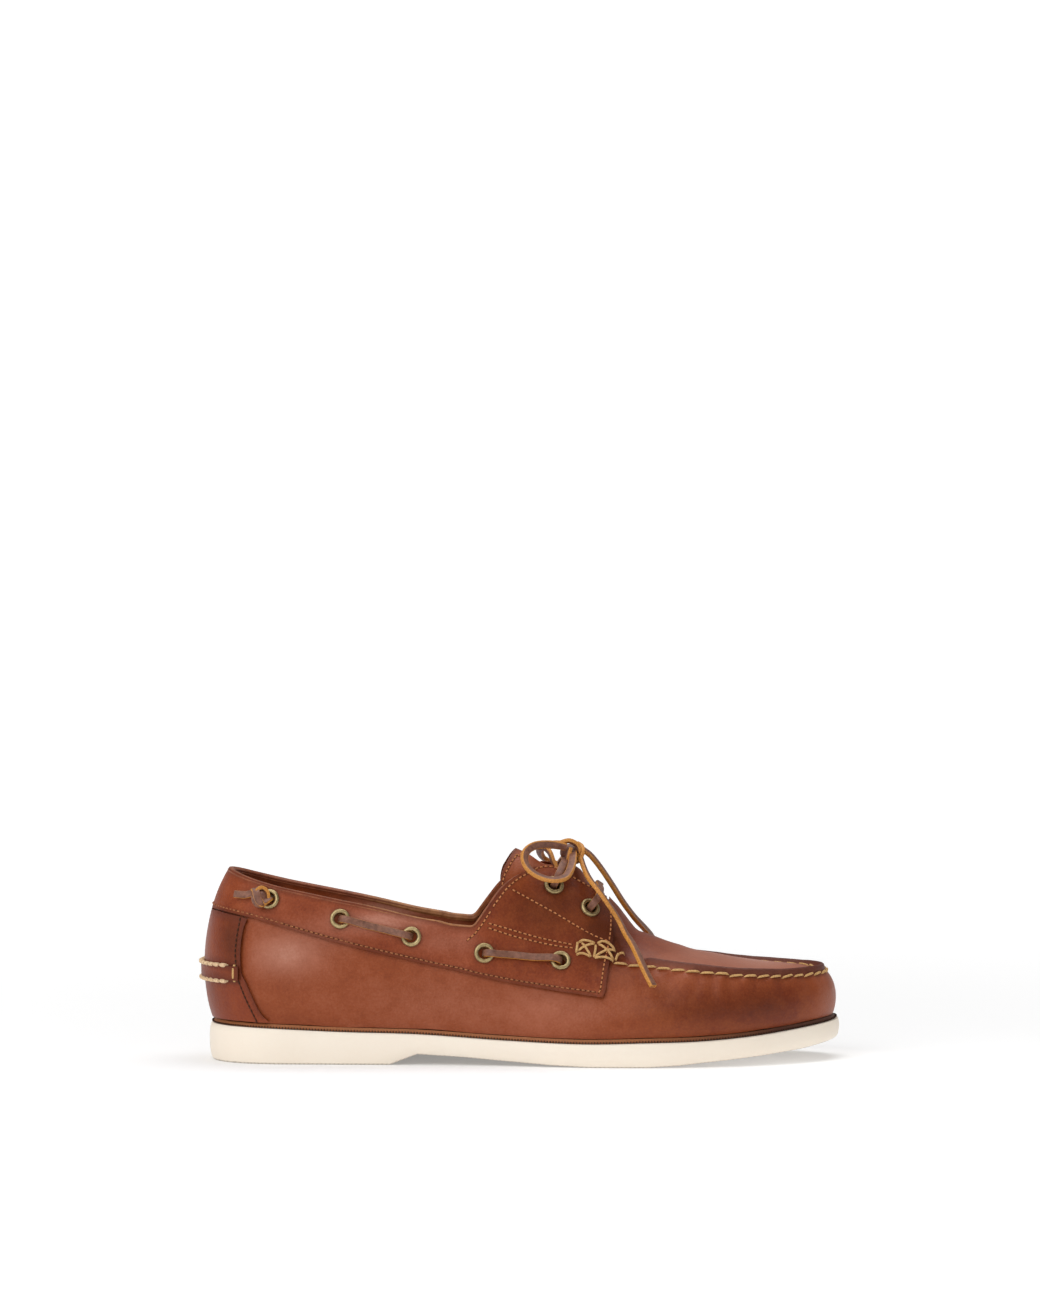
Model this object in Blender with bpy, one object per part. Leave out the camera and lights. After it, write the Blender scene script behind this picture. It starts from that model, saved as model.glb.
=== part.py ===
"""A men's boat shoe for the right foot, standing empty on its sole. Metres, +Z up, toe to +X, lateral side to -Y.

The shoe is worked out from its length, widths, heel and instep. A station is a share of the length, and a turn runs
round the outline from the heel (0) along the lateral side to the toe (1) and back along the medial side (2). One
surface, from the feather up to the seam and over the instep, serves the upper, tongue, collar band and counter.
"""

import math

import bmesh
import bpy
from mathutils import Matrix, Vector
from mathutils.bvhtree import BVHTree

# Driving sizes
LENGTH = 0.296
BALL_WIDTH = 0.106
HEEL_WIDTH = 0.069
TOE_LEAN = 0.007
HEEL_STACK = 0.0174
FOREFOOT_SOLE = 0.0110
ARCH_RISE = 0.0050
TOE_SPRING = 0.0100
COLLAR_HEIGHT = 0.0890
INSTEP_RISE = 0.0360
SEAM_INSET = 0.0195
BULGE = 0.0050
HEEL_SEAT = 0.0450

# Leather, rubber and clearances
CLEAR = 0.0003
RAND = 0.0018
RAND_INSET = 0.0018
INSOLE = 0.0030
INSOLE_INSET = 0.0066
UPPER_WALL = 0.0018
FEATHER_INSET = 0.0030
MARGIN = 0.0100
OVERLAY = 0.0013
OVERLAY_GAP = 0.0003
OVERHANG = 0.0012
TONGUE = 0.0020
TONGUE_SPREAD = 0.80
RIDGE = 0.0030
KICKER = 0.0016
KICKER_LOW = 0.0385
KICKER_HIGH = 0.0463
KICKER_REACH = 0.0140
SPARE = 0.0140
ROOF = 0.1500
BEHIND = -0.0300

# Brass and lace
EYELET_HOLE = 0.0054
EYELET_FLANGE = 0.0095
EYELET_RISE = 0.0011
EYELET_WALL = 0.0004
EYELET_TAIL = 0.0004
LACE_WIDTH = 0.0034
LACE_THICK = 0.0019
CORD = 0.0030

# Mesh fineness
STATIONS = 34
WALL_STEPS = 5
CROWN_STEPS = 6
ROUND_STEPS = 8

# Outline of the sole: 0 is the heel's width and 1 the ball's
OUTLINE = (
    # along, lateral, medial
    (0.00, 0.00, 0.00),
    (0.12, 0.02, 0.01),
    (0.20, 0.08, 0.03),
    (0.34, 0.20, 0.02),
    (0.46, 0.46, 0.10),
    (0.59, 0.90, 0.62),
    (0.70, 1.08, 0.91),
    (0.78, 1.08, 0.82),
    (0.86, 1.03, 0.52),
    (0.94, 0.80, 0.30),
    (1.00, 0.70, 0.25),
)
HEEL_ROUND = 0.125
HEEL_POWER = 2.2
TOE_ROUND = 0.30
TOE_POWER = 2.4
LEAN_FROM = 0.55

# Top of the rubber: shares of the heel stack, the forefoot's sole and the toe spring
SOLE_TOP = (
    # along, heel, forefoot, spring
    (0.000, 1.00, 0.00, 0.00),
    (0.080, 0.97, 0.00, 0.00),
    (0.206, 0.88, 0.00, 0.00),
    (0.334, 0.70, 0.20, 0.00),
    (0.460, 0.35, 0.55, 0.00),
    (0.588, 0.00, 0.99, 0.00),
    (0.700, 0.00, 0.98, 0.08),
    (0.777, 0.00, 0.96, 0.16),
    (0.858, 0.00, 0.93, 0.37),
    (0.936, 0.00, 0.90, 0.66),
    (1.000, 0.00, 0.88, 0.93),
)

# Underside: shares of the arch and the toe spring, straight between rows so that heel and forefoot stay flat
SOLE_BOTTOM = (
    # along, arch, spring
    (0.000, 0.00, 0.00),
    (0.287, 0.00, 0.00),
    (0.330, 1.00, 0.00),
    (0.400, 0.78, 0.00),
    (0.470, 0.45, 0.00),
    (0.540, 0.15, 0.00),
    (0.600, 0.00, 0.00),
    (0.690, 0.00, 0.00),
    (0.740, 0.00, 0.08),
    (0.780, 0.00, 0.20),
    (0.830, 0.00, 0.34),
    (0.880, 0.00, 0.48),
    (0.940, 0.00, 0.68),
    (1.000, 0.00, 1.00),
)

# Side of the rubber, from the tread to the top edge
SOLE_SIDE = (
    # share of the height, inset
    (0.00, 0.0022),
    (0.18, 0.0005),
    (0.62, 0.0000),
    (1.00, 0.0011),
)

# Collar rim at the back, carried forward as the double seam and the plug's seam
SEAM = (
    # along, height as a share of the collar, lateral and medial inset as shares of SEAM_INSET
    (0.000, 1.000, 0.54, 0.54),
    (0.100, 0.930, 0.38, 0.38),
    (0.190, 0.868, 0.31, 0.31),
    (0.253, 0.826, 0.31, 0.28),
    (0.345, 0.757, 0.33, 0.24),
    (0.443, 0.724, 0.44, 0.30),
    (0.507, 0.683, 0.72, 0.50),
    (0.578, 0.625, 0.98, 0.78),
    (0.642, 0.537, 1.00, 0.90),
    (0.710, 0.514, 0.82, 0.78),
    (0.784, 0.492, 0.53, 0.55),
    (0.858, 0.470, 0.35, 0.40),
    (0.940, 0.457, 0.31, 0.33),
    (1.000, 0.461, 0.33, 0.33),
)

# Bow of the side wall: the two inner handles of a cubic curve from the feather to the seam
WALL = (
    # along, low handle's swell and rise, high handle's inset as a share of the seam's and its rise
    (0.000, 0.56, 0.22, -0.31, 0.66),
    (0.100, 0.35, 0.22, -0.08, 0.66),
    (0.250, 0.30, 0.25, 0.15, 0.66),
    (0.345, 0.20, 0.25, 0.25, 0.66),
    (0.443, 0.20, 0.26, 0.42, 0.68),
    (0.507, 0.30, 0.27, 0.58, 0.70),
    (0.578, 0.40, 0.28, 0.66, 0.72),
    (0.642, 0.50, 0.30, 0.60, 0.74),
    (0.710, 0.65, 0.32, 0.47, 0.76),
    (0.784, 0.60, 0.34, 0.36, 0.78),
    (0.858, 0.45, 0.34, 0.25, 0.78),
    (0.940, 0.10, 0.32, 0.16, 0.76),
    (1.000, -0.13, 0.30, 0.13, 0.75),
)

# Crown above the seam, as a share of INSTEP_RISE
CROWN = (
    # along, rise
    (0.380, 1.400),
    (0.443, 1.190),
    (0.483, 1.075),
    (0.534, 1.000),
    (0.573, 0.925),
    (0.608, 0.835),
    (0.635, 0.710),
    (0.666, 0.400),
    (0.689, 0.338),
    (0.716, 0.290),
    (0.753, 0.232),
    (0.777, 0.188),
    (0.818, 0.165),
    (0.855, 0.137),
    (0.936, 0.095),
    (0.972, 0.062),
    (1.000, 0.000),
)
CROWN_FROM = 0.385

# Raised seam across its width: distance inside the seam line and share of RIDGE
RIDGE_ROWS = (
    # distance, lift
    (0.0008, 0.80),
    (0.0022, 1.00),
    (0.0032, 0.40),
    (0.0050, 0.00),
)
RIDGE_FROM = 0.672
RIDGE_FULL = 0.700
RIDGE_LEAN = 0.05

# Side view of the overlay: shares of the length and of the collar height
BAND_LOW = (
    # along, up
    (0.015, 0.800),
    (0.068, 0.770),
    (0.149, 0.694),
    (0.230, 0.621),
    (0.328, 0.543),
    (0.399, 0.494),
    (0.463, 0.447),
    (0.544, 0.402),
    (0.611, 0.371),
)
BAND_FRONT = (
    # along, up
    (0.622, 0.366),
    (0.627, 0.400),
    (0.632, 0.520),
    (0.637, 0.600),
    (0.640, 0.680),
    (0.639, 0.750),
    (0.635, 0.800),
)
LACE_EDGE = (
    # along, up
    (0.630, 0.830),
    (0.608, 0.903),
    (0.573, 0.977),
    (0.552, 1.015),
    (0.534, 1.030),
)
WING_REAR = (
    # along, up
    (0.515, 1.025),
    (0.500, 1.003),
    (0.483, 0.975),
    (0.463, 0.920),
    (0.443, 0.832),
    (0.430, 0.770),
    (0.419, 0.728),
    (0.402, 0.726),
    (0.380, 0.735),
    (0.355, 0.760),
)
TONGUE_REAR = (
    # along, up
    (0.700, 1.300),
    (0.500, 1.300),
    (0.493, 1.125),
    (0.487, 1.115),
    (0.478, 1.080),
    (0.470, 1.035),
    (0.464, 0.995),
    (0.461, 0.930),
    (0.466, 0.870),
    (0.480, 0.790),
    (0.510, 0.700),
    (0.560, 0.600),
    (0.700, 0.400),
)
TONGUE_FRONT = 0.690
COUNTER_EDGE = (
    # along, up
    (0.062, 0.763),
    (0.055, 0.700),
    (0.051, 0.580),
    (0.053, 0.480),
    (0.060, 0.430),
    (0.072, 0.340),
    (0.083, 0.270),
    (0.096, 0.225),
)

# Eyelets in side view, heel to throat
EYELETS = (
    # along, up
    (0.098, 0.862),
    (0.209, 0.762),
    (0.321, 0.671),
    (0.436, 0.588),
    (0.556, 0.543),
    (0.545, 0.921),
    (0.601, 0.804),
)

# Lace over an eyelet: run from the hole's centre and height over the leather
BAR_END = (
    # run, lift
    (0.0000, -0.0012),
    (0.0002, 0.0014),
    (0.0015, 0.0037),
    (0.0038, 0.0045),
    (0.0062, 0.0041),
)
BAR_LIFT = 0.0031
CROSSING_LIFT = 0.0009

# Crossings over the throat: share of the length, height over the instep and sweep ahead of the eyelets
LOW_CREST = (0.617, 0.0043, 0.0040)
HIGH_CREST = (0.565, 0.0027, 0.0)

# The bow, points chosen by eye
KNOT_CENTRE = (0.1707, -0.0005, 0.0975)
KNOT_SIZE = (0.0076, 0.0086, 0.0068)
LOOP_NEAR = (
    (0.1672, -0.0065, 0.1000),
    (0.1600, -0.0095, 0.1012),
    (0.1530, -0.0135, 0.1010),
    (0.1487, -0.0185, 0.0985),
    (0.1480, -0.0235, 0.0945),
    (0.1505, -0.0275, 0.0905),
    (0.1555, -0.0295, 0.0875),
    (0.1615, -0.0295, 0.0862),
    (0.1670, -0.0260, 0.0872),
    (0.1697, -0.0190, 0.0912),
    (0.1706, -0.0110, 0.0952),
    (0.1708, -0.0054, 0.0970),
)
LOOP_FAR = (
    (0.1672, 0.0045, 0.1000),
    (0.1620, 0.0085, 0.0998),
    (0.1572, 0.0140, 0.0985),
    (0.1552, 0.0200, 0.0960),
    (0.1565, 0.0255, 0.0925),
    (0.1605, 0.0275, 0.0900),
    (0.1655, 0.0250, 0.0895),
    (0.1692, 0.0180, 0.0920),
    (0.1706, 0.0090, 0.0952),
    (0.1708, 0.0043, 0.0970),
)
END_NEAR = (
    (0.1740, -0.0044, 0.0955),
    (0.1760, -0.0120, 0.0900),
    (0.1785, -0.0200, 0.0856),
    (0.1820, -0.0255, 0.0815),
    (0.1855, -0.0270, 0.0768),
    (0.1888, -0.0258, 0.0720),
    (0.1920, -0.0245, 0.0668),
    (0.1950, -0.0272, 0.0612),
    (0.1985, -0.0350, 0.0562),
    (0.2015, -0.0440, 0.0505),
    (0.2045, -0.0502, 0.0445),
    (0.2078, -0.0542, 0.0385),
)
END_FAR = (
    (0.1745, 0.0020, 0.0985),
    (0.1790, 0.0045, 0.0950),
    (0.1840, 0.0080, 0.0885),
    (0.1892, 0.0115, 0.0805),
    (0.1945, 0.0160, 0.0718),
    (0.2000, 0.0230, 0.0640),
    (0.2045, 0.0315, 0.0585),
    (0.2085, 0.0400, 0.0530),
    (0.2115, 0.0470, 0.0460),
)

# Lace end at the rear eyelet: behind and above the hole's centre, and height over the leather
STOP_KNOT = (
    # behind, above, height
    (0.0000, 0.0000, -0.0010),
    (-0.0002, 0.0000, 0.0022),
    (0.0010, -0.0015, 0.0048),
    (0.0025, -0.0027, 0.0064),
    (0.0036, -0.0012, 0.0078),
    (0.0042, 0.0012, 0.0080),
    (0.0048, 0.0031, 0.0068),
    (0.0058, 0.0036, 0.0050),
    (0.0074, 0.0026, 0.0039),
    (0.0106, 0.0022, 0.0038),
    (0.0150, 0.0030, 0.0040),
)

COLOURS = {
    # name: colour, roughness, metallic
    "rubber": ((0.86, 0.80, 0.70), 0.55, 0.0),
    "rand": ((0.20, 0.09, 0.04), 0.55, 0.0),
    "sock": ((0.42, 0.27, 0.15), 0.70, 0.0),
    "leather": ((0.30, 0.09, 0.04), 0.42, 0.0),
    "band": ((0.27, 0.08, 0.035), 0.45, 0.0),
    "counter": ((0.17, 0.03, 0.015), 0.38, 0.0),
    "tongue": ((0.26, 0.08, 0.04), 0.50, 0.0),
    "brass": ((0.40, 0.32, 0.18), 0.35, 1.0),
    "rawhide": ((0.22, 0.09, 0.06), 0.50, 0.0),
}


# Tables and curves


def straight(rows, column, along):
    """A column of a table at this station, straight between rows."""
    along = min(max(along, rows[0][0]), rows[-1][0])
    for low, high in zip(rows, rows[1:]):
        if along <= high[0]:
            share = (along - low[0]) / (high[0] - low[0])
            return low[column] + (high[column] - low[column]) * share
    return rows[-1][column]


def smooth(rows, column, along):
    """A column of a table at this station, as a smooth curve through its rows."""
    along = min(max(along, rows[0][0]), rows[-1][0])
    last = len(rows) - 1

    def slope(index):
        before = rows[max(index - 1, 0)]
        after = rows[min(index + 1, last)]
        return (after[column] - before[column]) / (after[0] - before[0])

    index = next(i for i in range(last) if along <= rows[i + 1][0])
    low, high = rows[index], rows[index + 1]
    gap = high[0] - low[0]
    u = (along - low[0]) / gap
    return (
        low[column] * (2 * u**3 - 3 * u**2 + 1)
        + slope(index) * gap * (u**3 - 2 * u**2 + u)
        + high[column] * (3 * u**2 - 2 * u**3)
        + slope(index + 1) * gap * (u**3 - u**2)
    )


def ease(value):
    value = min(max(value, 0.0), 1.0)
    return value * value * (3 - 2 * value)


def flow(points, steps):
    """A smooth line through the points, with this many steps a span."""
    points = [Vector(point) for point in points]
    line = []
    for index in range(len(points) - 1):
        start, end = points[index], points[index + 1]
        before = points[max(index - 1, 0)]
        after = points[min(index + 2, len(points) - 1)]
        for step in range(steps):
            u = step / steps
            line.append(
                start * (2 * u**3 - 3 * u**2 + 1)
                + (end - before) * 0.5 * (u**3 - 2 * u**2 + u)
                + end * (3 * u**2 - 2 * u**3)
                + (after - start) * 0.5 * (u**3 - u**2)
            )
    return line + [points[-1]]


def side_view(rows):
    """Shares of the length and of the collar height as points of the side view."""
    return [(along * LENGTH, 0.0, up * COLLAR_HEIGHT) for along, up in rows]


# Outline and sole


def half_width(medial, along):
    share = smooth(OUTLINE, 2 if medial else 1, along)
    width = (HEEL_WIDTH + (BALL_WIDTH - HEEL_WIDTH) * share) / 2
    if along < HEEL_ROUND:
        back = 1 - along / HEEL_ROUND
        width *= (1 - back**HEEL_POWER) ** (1 / HEEL_POWER)
    if along > 1 - TOE_ROUND:
        front = (along - 1 + TOE_ROUND) / TOE_ROUND
        width *= max(1 - front**TOE_POWER, 0.0) ** (1 / TOE_POWER)
    return width


def station(turn):
    """(share of the length, True on the medial side) at this turn round the outline."""
    turn %= 2
    medial = turn > 1
    return (1 - math.cos(math.pi * turn)) / 2, medial


def edge(turn):
    """The sole's edge in plan."""
    along, medial = station(turn)
    axis = TOE_LEAN * ease((along - LEAN_FROM) / (1 - LEAN_FROM))
    width = half_width(medial, along)
    return Vector((LENGTH * along, axis + (width if medial else -width)))


def plan(turn, inset):
    """A point this far inside the sole's edge, square to it."""
    nudge = 0.004
    ahead = edge(turn + nudge) - edge(turn - nudge)
    outward = Vector((ahead.y, -ahead.x)).normalized()
    return edge(turn) - outward * inset


def sole_top(x):
    along = x / LENGTH
    heel, forefoot, spring = (smooth(SOLE_TOP, column, along) for column in (1, 2, 3))
    return HEEL_STACK * heel + FOREFOOT_SOLE * forefoot + TOE_SPRING * spring


def sole_bottom(x):
    along = x / LENGTH
    return ARCH_RISE * straight(SOLE_BOTTOM, 1, along) + TOE_SPRING * straight(SOLE_BOTTOM, 2, along)


def even_turns(count):
    """Turns from heel to toe at even steps along the edge."""
    fine = [index / 600 for index in range(601)]
    run = [0.0]
    for low, high in zip(fine, fine[1:]):
        run.append(run[-1] + (edge(high) - edge(low)).length)
    turns, index = [0.0], 0
    for step in range(1, count):
        target = run[-1] * step / count
        while run[index + 1] < target:
            index += 1
        share = (target - run[index]) / (run[index + 1] - run[index])
        turns.append(fine[index] + share * (fine[index + 1] - fine[index]))
    return turns + [1.0]


TURNS = even_turns(STATIONS)
SOLE_TURNS = sorted(
    set(TURNS) | {math.acos(1 - 2 * along) / math.pi for along, _, _ in SOLE_BOTTOM[1:8]}
)


def both_sides(turns):
    """The turns of the whole loop, heel, lateral side, toe and medial side."""
    return turns + [2 - turn for turn in reversed(turns[1:-1])]


# Materials, meshes and cuts


def material(name):
    found = bpy.data.materials.get(name)
    if found:
        return found
    colour, roughness, metallic = COLOURS[name]
    made = bpy.data.materials.new(name)
    made.use_nodes = True
    shader = made.node_tree.nodes["Principled BSDF"]
    shader.inputs["Base Color"].default_value = (*colour, 1.0)
    shader.inputs["Roughness"].default_value = roughness
    shader.inputs["Metallic"].default_value = metallic
    made.diffuse_color = (*colour, 1.0)
    return made


def place(name, mesh, finish):
    made = bpy.data.objects.new(name, mesh)
    if finish:
        mesh.materials.append(material(finish))
        mesh.shade_smooth()
        mesh.set_sharp_from_angle(angle=math.radians(40))
        PARTS.objects.link(made)
    else:
        made.hide_render = True
        made.display_type = "WIRE"
        CUTTERS.objects.link(made)
    made.parent = ROOT
    return made


def finished(bm, name):
    bmesh.ops.recalc_face_normals(bm, faces=bm.faces)
    mesh = bpy.data.meshes.new(name)
    bm.to_mesh(mesh)
    bm.free()
    return mesh


def cut(target, cutter, operation="DIFFERENCE"):
    modifier = target.modifiers.new(cutter.name, "BOOLEAN")
    modifier.operation = operation
    modifier.object = cutter


def rings_to_mesh(name, rings):
    """A closed solid from loops of equal count, capped by cross strips between the two sides."""
    bm = bmesh.new()
    made = [[bm.verts.new(point) for point in ring] for ring in rings]
    count = len(rings[0])
    for low, high in zip(made, made[1:]):
        for index in range(count):
            after = (index + 1) % count
            bm.faces.new((low[index], low[after], high[after], high[index]))
    for ring in (made[0], made[-1]):
        bm.faces.new((ring[0], ring[1], ring[-1]))
        for index in range(1, count // 2 - 1):
            bm.faces.new((ring[index], ring[index + 1], ring[count - index - 1], ring[count - index]))
        bm.faces.new((ring[count // 2 - 1], ring[count // 2], ring[count // 2 + 1]))
    return finished(bm, name)


def prism(name, outline):
    """A cutter: an outline of the side view, run across the whole width."""
    bm = bmesh.new()
    bottom = [bm.verts.new((point[0], -BALL_WIDTH, point[2])) for point in outline]
    face = bm.faces.new(bottom)
    moved = bmesh.ops.extrude_face_region(bm, geom=[face])["geom"]
    top = [item for item in moved if isinstance(item, bmesh.types.BMVert)]
    bmesh.ops.translate(bm, verts=top, vec=(0, 2 * BALL_WIDTH, 0))
    return place(name, finished(bm, name), None)


def grown(outline, distance):
    """The closed outline moved outward by a distance."""
    flat = [Vector((point[0], point[2])) for point in outline]
    area = sum(a.x * b.y - b.x * a.y for a, b in zip(flat, flat[1:] + flat[:1]))
    moved = []
    for index, here in enumerate(flat):
        ahead = (flat[(index + 1) % len(flat)] - flat[index - 1]).normalized()
        out = Vector((ahead.y, -ahead.x)) * (1 if area > 0 else -1)
        moved.append((here.x + out.x * distance, 0.0, here.y + out.y * distance))
    return moved


# The surface that upper, tongue and overlays share


def seam_height(along):
    return COLLAR_HEIGHT * smooth(SEAM, 1, along)


def seam_inset(along, medial):
    return SEAM_INSET * smooth(SEAM, 3 if medial else 2, along)


def feather_height(x):
    return sole_top(x) + RAND + 2 * CLEAR


def wall_point(turn, share):
    """A point of the side wall, 0 at the feather and 1 at the seam."""
    along, medial = station(turn)
    foot = feather_height(plan(turn, FEATHER_INSET).x)
    tall = seam_height(along) - foot
    inset = seam_inset(along, medial)
    swell, low, lean, high = (smooth(WALL, column, along) for column in (1, 2, 3, 4))
    handles = (
        (FEATHER_INSET, 0.0),
        (-BULGE * swell, low),
        (inset * lean, high),
        (inset, 1.0),
    )
    rest = 1 - share
    weights = (rest**3, 3 * rest**2 * share, 3 * rest * share**2, share**3)
    inward = sum(weight * handle[0] for weight, handle in zip(weights, handles))
    up = sum(weight * handle[1] for weight, handle in zip(weights, handles))
    x, y = plan(turn, inward)
    return Vector((x, y, foot + tall * up))


def crown_rise(along, across):
    """Height over the seam, where across is 0 on the crest and 1 on the seam."""
    return INSTEP_RISE * smooth(CROWN, 1, along) * (1 - across**2)


def crown_half(turn):
    return (wall_point(turn, 1).xy - wall_point(2 - turn, 1).xy).length / 2


def shoulder_point(turn, distance):
    """A point of the crown close inside the seam, square to the outline."""
    along, medial = station(turn)
    near = turn if turn <= 1 else 2 - turn
    half = crown_half(near)
    across = max(1 - distance / half, 0.0) if half > distance else 0.0
    x, y = plan(turn, seam_inset(along, medial) + distance)
    return Vector((x, y, seam_height(along) + crown_rise(along, across)))


def make_surface():
    """(mesh of the whole form, its faces by zone): margin, wall, shoulder and crown."""
    bm = bmesh.new()
    loop = both_sides(TURNS)
    count = len(loop)
    first = next(i for i, turn in enumerate(TURNS) if station(turn)[0] >= CROWN_FROM)
    columns = []
    for index, turn in enumerate(loop):
        x, y = plan(turn, FEATHER_INSET + MARGIN)
        column = [Vector((x, y, feather_height(x)))]
        column += [wall_point(turn, step / WALL_STEPS) for step in range(WALL_STEPS + 1)]
        if first <= index <= count - first:
            column += [shoulder_point(turn, distance) for distance, _ in RIDGE_ROWS]
        columns.append([bm.verts.new(point) for point in column])
    top = len(RIDGE_ROWS)
    for index in range(count):
        here, after = columns[index], columns[(index + 1) % count]
        for row in range(min(len(here), len(after)) - 1):
            bm.faces.new((here[row], after[row], after[row + 1], here[row + 1]))
    lines = []
    for index in range(first, STATIONS):
        near, far = columns[index], columns[count - index]
        along = station(TURNS[index])[0]
        inner = 1 - RIDGE_ROWS[top - 1][0] / crown_half(TURNS[index])
        line = [near[-1]]
        for step in range(1, CROWN_STEPS):
            share = step / CROWN_STEPS
            flat = near[-1].co.lerp(far[-1].co, share)
            across = abs(2 * share - 1) * inner
            flat.z = seam_height(along) + crown_rise(along, across)
            line.append(bm.verts.new(flat))
        lines.append(line + [far[-1]])
    for here, after in zip(lines, lines[1:]):
        for step in range(CROWN_STEPS):
            bm.faces.new((here[step], after[step], after[step + 1], here[step + 1]))
    for step in range(CROWN_STEPS):
        bm.faces.new((lines[-1][step], columns[STATIONS][-1], lines[-1][step + 1]))
    bmesh.ops.triangulate(bm, faces=bm.faces)
    bm.normal_update()
    bm.verts.index_update()
    return bm


def ridge_lift():
    """How far the raised seam lifts each point of the surface."""
    lifts = {}
    loop = both_sides(TURNS)
    for turn in loop:
        along, medial = station(turn)
        fade = ease((along - RIDGE_FROM) / (RIDGE_FULL - RIDGE_FROM))
        if fade <= 0:
            continue
        out = (plan(turn, 0) - plan(turn, 1)) * RIDGE_LEAN
        for distance, share in RIDGE_ROWS:
            key = tuple(round(value, 6) for value in shoulder_point(turn, distance))
            lifts[key] = Vector((out.x, out.y, 1.0)).normalized() * RIDGE * share * fade
    return lifts


def skin(name, finish, outer, inner, keep, lifts=None):
    """A closed wall between two lifts off the surface, on the faces that keep() passes."""
    bm = bmesh.new()
    kept = [face for face in SURFACE.faces if keep(face.calc_center_median())]
    used = sorted({vert.index for face in kept for vert in face.verts})
    SURFACE.verts.ensure_lookup_table()
    outside, inside = {}, {}
    for index in used:
        vert = SURFACE.verts[index]
        way = vert.normal * vert.calc_shell_factor()
        key = tuple(round(value, 6) for value in vert.co)
        raised = (lifts or {}).get(key, Vector((0.0, 0.0, 0.0)))
        outside[index] = bm.verts.new(vert.co + way * outer + raised)
        inside[index] = bm.verts.new(vert.co + way * inner)
    sides = {}
    for face in kept:
        loop = [vert.index for vert in face.verts]
        bm.faces.new([outside[index] for index in loop])
        bm.faces.new([inside[index] for index in reversed(loop)])
        for a, b in zip(loop, loop[1:] + loop[:1]):
            sides[(a, b)] = True
    for a, b in sides:
        if (b, a) not in sides:
            bm.faces.new((outside[b], outside[a], inside[a], inside[b]))
    return place(name, finished(bm, name), finish)


def spot(along, up, medial):
    """(point, outward direction) where the side view's point meets the surface."""
    span = 0.0035
    x, z = along * LENGTH, up * COLLAR_HEIGHT
    way = Vector((0, -1 if medial else 1, 0))

    def meet(dx, dz):
        start = Vector((x + dx, -way.y * BALL_WIDTH, z + dz))
        return TREE.ray_cast(start, way)[0]

    along_line = meet(span, 0) - meet(-span, 0)
    up_line = meet(0, span) - meet(0, -span)
    normal = along_line.cross(up_line).normalized()
    return meet(0, 0), -normal if medial else normal


# Sole pieces


def make_outsole():
    rings = []
    for share, inset in SOLE_SIDE:
        ring = []
        for turn in both_sides(SOLE_TURNS):
            x, y = plan(turn, inset)
            low, high = sole_bottom(x), sole_top(x)
            ring.append((x, y, low + (high - low) * share))
        rings.append(ring)
    return place("outsole", rings_to_mesh("outsole", rings), "rubber")


def make_sheet(name, finish, inset, bottom, thickness):
    """A layer that follows the top of the sole."""
    rings = []
    for height in (bottom, bottom + thickness):
        places = [plan(turn, inset) for turn in both_sides(SOLE_TURNS)]
        rings.append([(x, y, sole_top(x) + height) for x, y in places])
    return place(name, rings_to_mesh(name, rings), finish)


# Upper, overlays and tongue


def throat_outline():
    """The opening above the collar and between the wings, in side view."""
    rim = flow(side_view(WING_REAR[::-1]), 3) + flow(side_view(LACE_EDGE[::-1]), 3)
    front = BAND_FRONT[-1][0] * LENGTH
    return rim + [(front, 0.0, ROOF), (rim[0].x, 0.0, ROOF)]


def band_outline():
    """Collar band and both wings, in side view."""
    low = flow(side_view(BAND_LOW), 3)
    front = flow(side_view(BAND_FRONT), 2)
    wing = flow(side_view(LACE_EDGE), 3) + flow(side_view(WING_REAR), 3)
    return low + front + wing + [(wing[-1].x, 0.0, ROOF), (BEHIND, 0.0, ROOF), (BEHIND, 0.0, low[0].z)]


def make_upper(holes):
    made = skin("upper", "leather", 0.0, -UPPER_WALL, lambda centre: True, ridge_lift())
    cut(made, prism("throat", grown(throat_outline(), OVERHANG)))
    cut(made, holes)
    return made


def make_band(holes):
    reach = BAND_FRONT[4][0] * LENGTH + SPARE
    outer, inner = OVERLAY_GAP + OVERLAY, OVERLAY_GAP

    def keep(centre):
        low = straight(BAND_LOW, 1, centre.x / LENGTH) * COLLAR_HEIGHT
        return centre.x < reach and centre.z > low - SPARE

    made = skin("collar_band", "band", outer, inner, keep)
    cut(made, prism("band_shape", band_outline()), "INTERSECT")
    cut(made, holes)
    return made


def make_counter():
    edge_line = flow(side_view(COUNTER_EDGE), 3)
    top = flow(side_view(BAND_LOW[:2]), 3)
    roof = [(point[0], 0.0, point[2] - 2 * CLEAR) for point in top if point[0] < edge_line[0].x]
    foot = [edge_line[-1].x * share for share in (1.0, 0.66, 0.33, 0.0)]
    sill = [(x, 0.0, feather_height(x) + CLEAR) for x in foot + [BEHIND]]
    outline = edge_line + sill + [(BEHIND, 0.0, roof[0][2])] + roof
    reach = COUNTER_EDGE[-1][0] * LENGTH + SPARE
    inner = OVERLAY_GAP

    def keep(centre):
        return centre.x < reach and centre.z > feather_height(centre.x) + CLEAR

    made = skin("heel_counter", "counter", inner + OVERLAY, inner, keep)
    cut(made, prism("counter_shape", outline), "INTERSECT")
    bead = skin("kicker", None, inner + OVERLAY + KICKER, inner + OVERLAY / 2, keep)
    box = (
        (BEHIND, 0.0, KICKER_LOW),
        (KICKER_REACH, 0.0, KICKER_LOW),
        (KICKER_REACH, 0.0, KICKER_HIGH),
        (BEHIND, 0.0, KICKER_HIGH),
    )
    cut(bead, prism("kicker_shape", box), "INTERSECT")
    cut(made, bead, "UNION")
    return made


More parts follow.
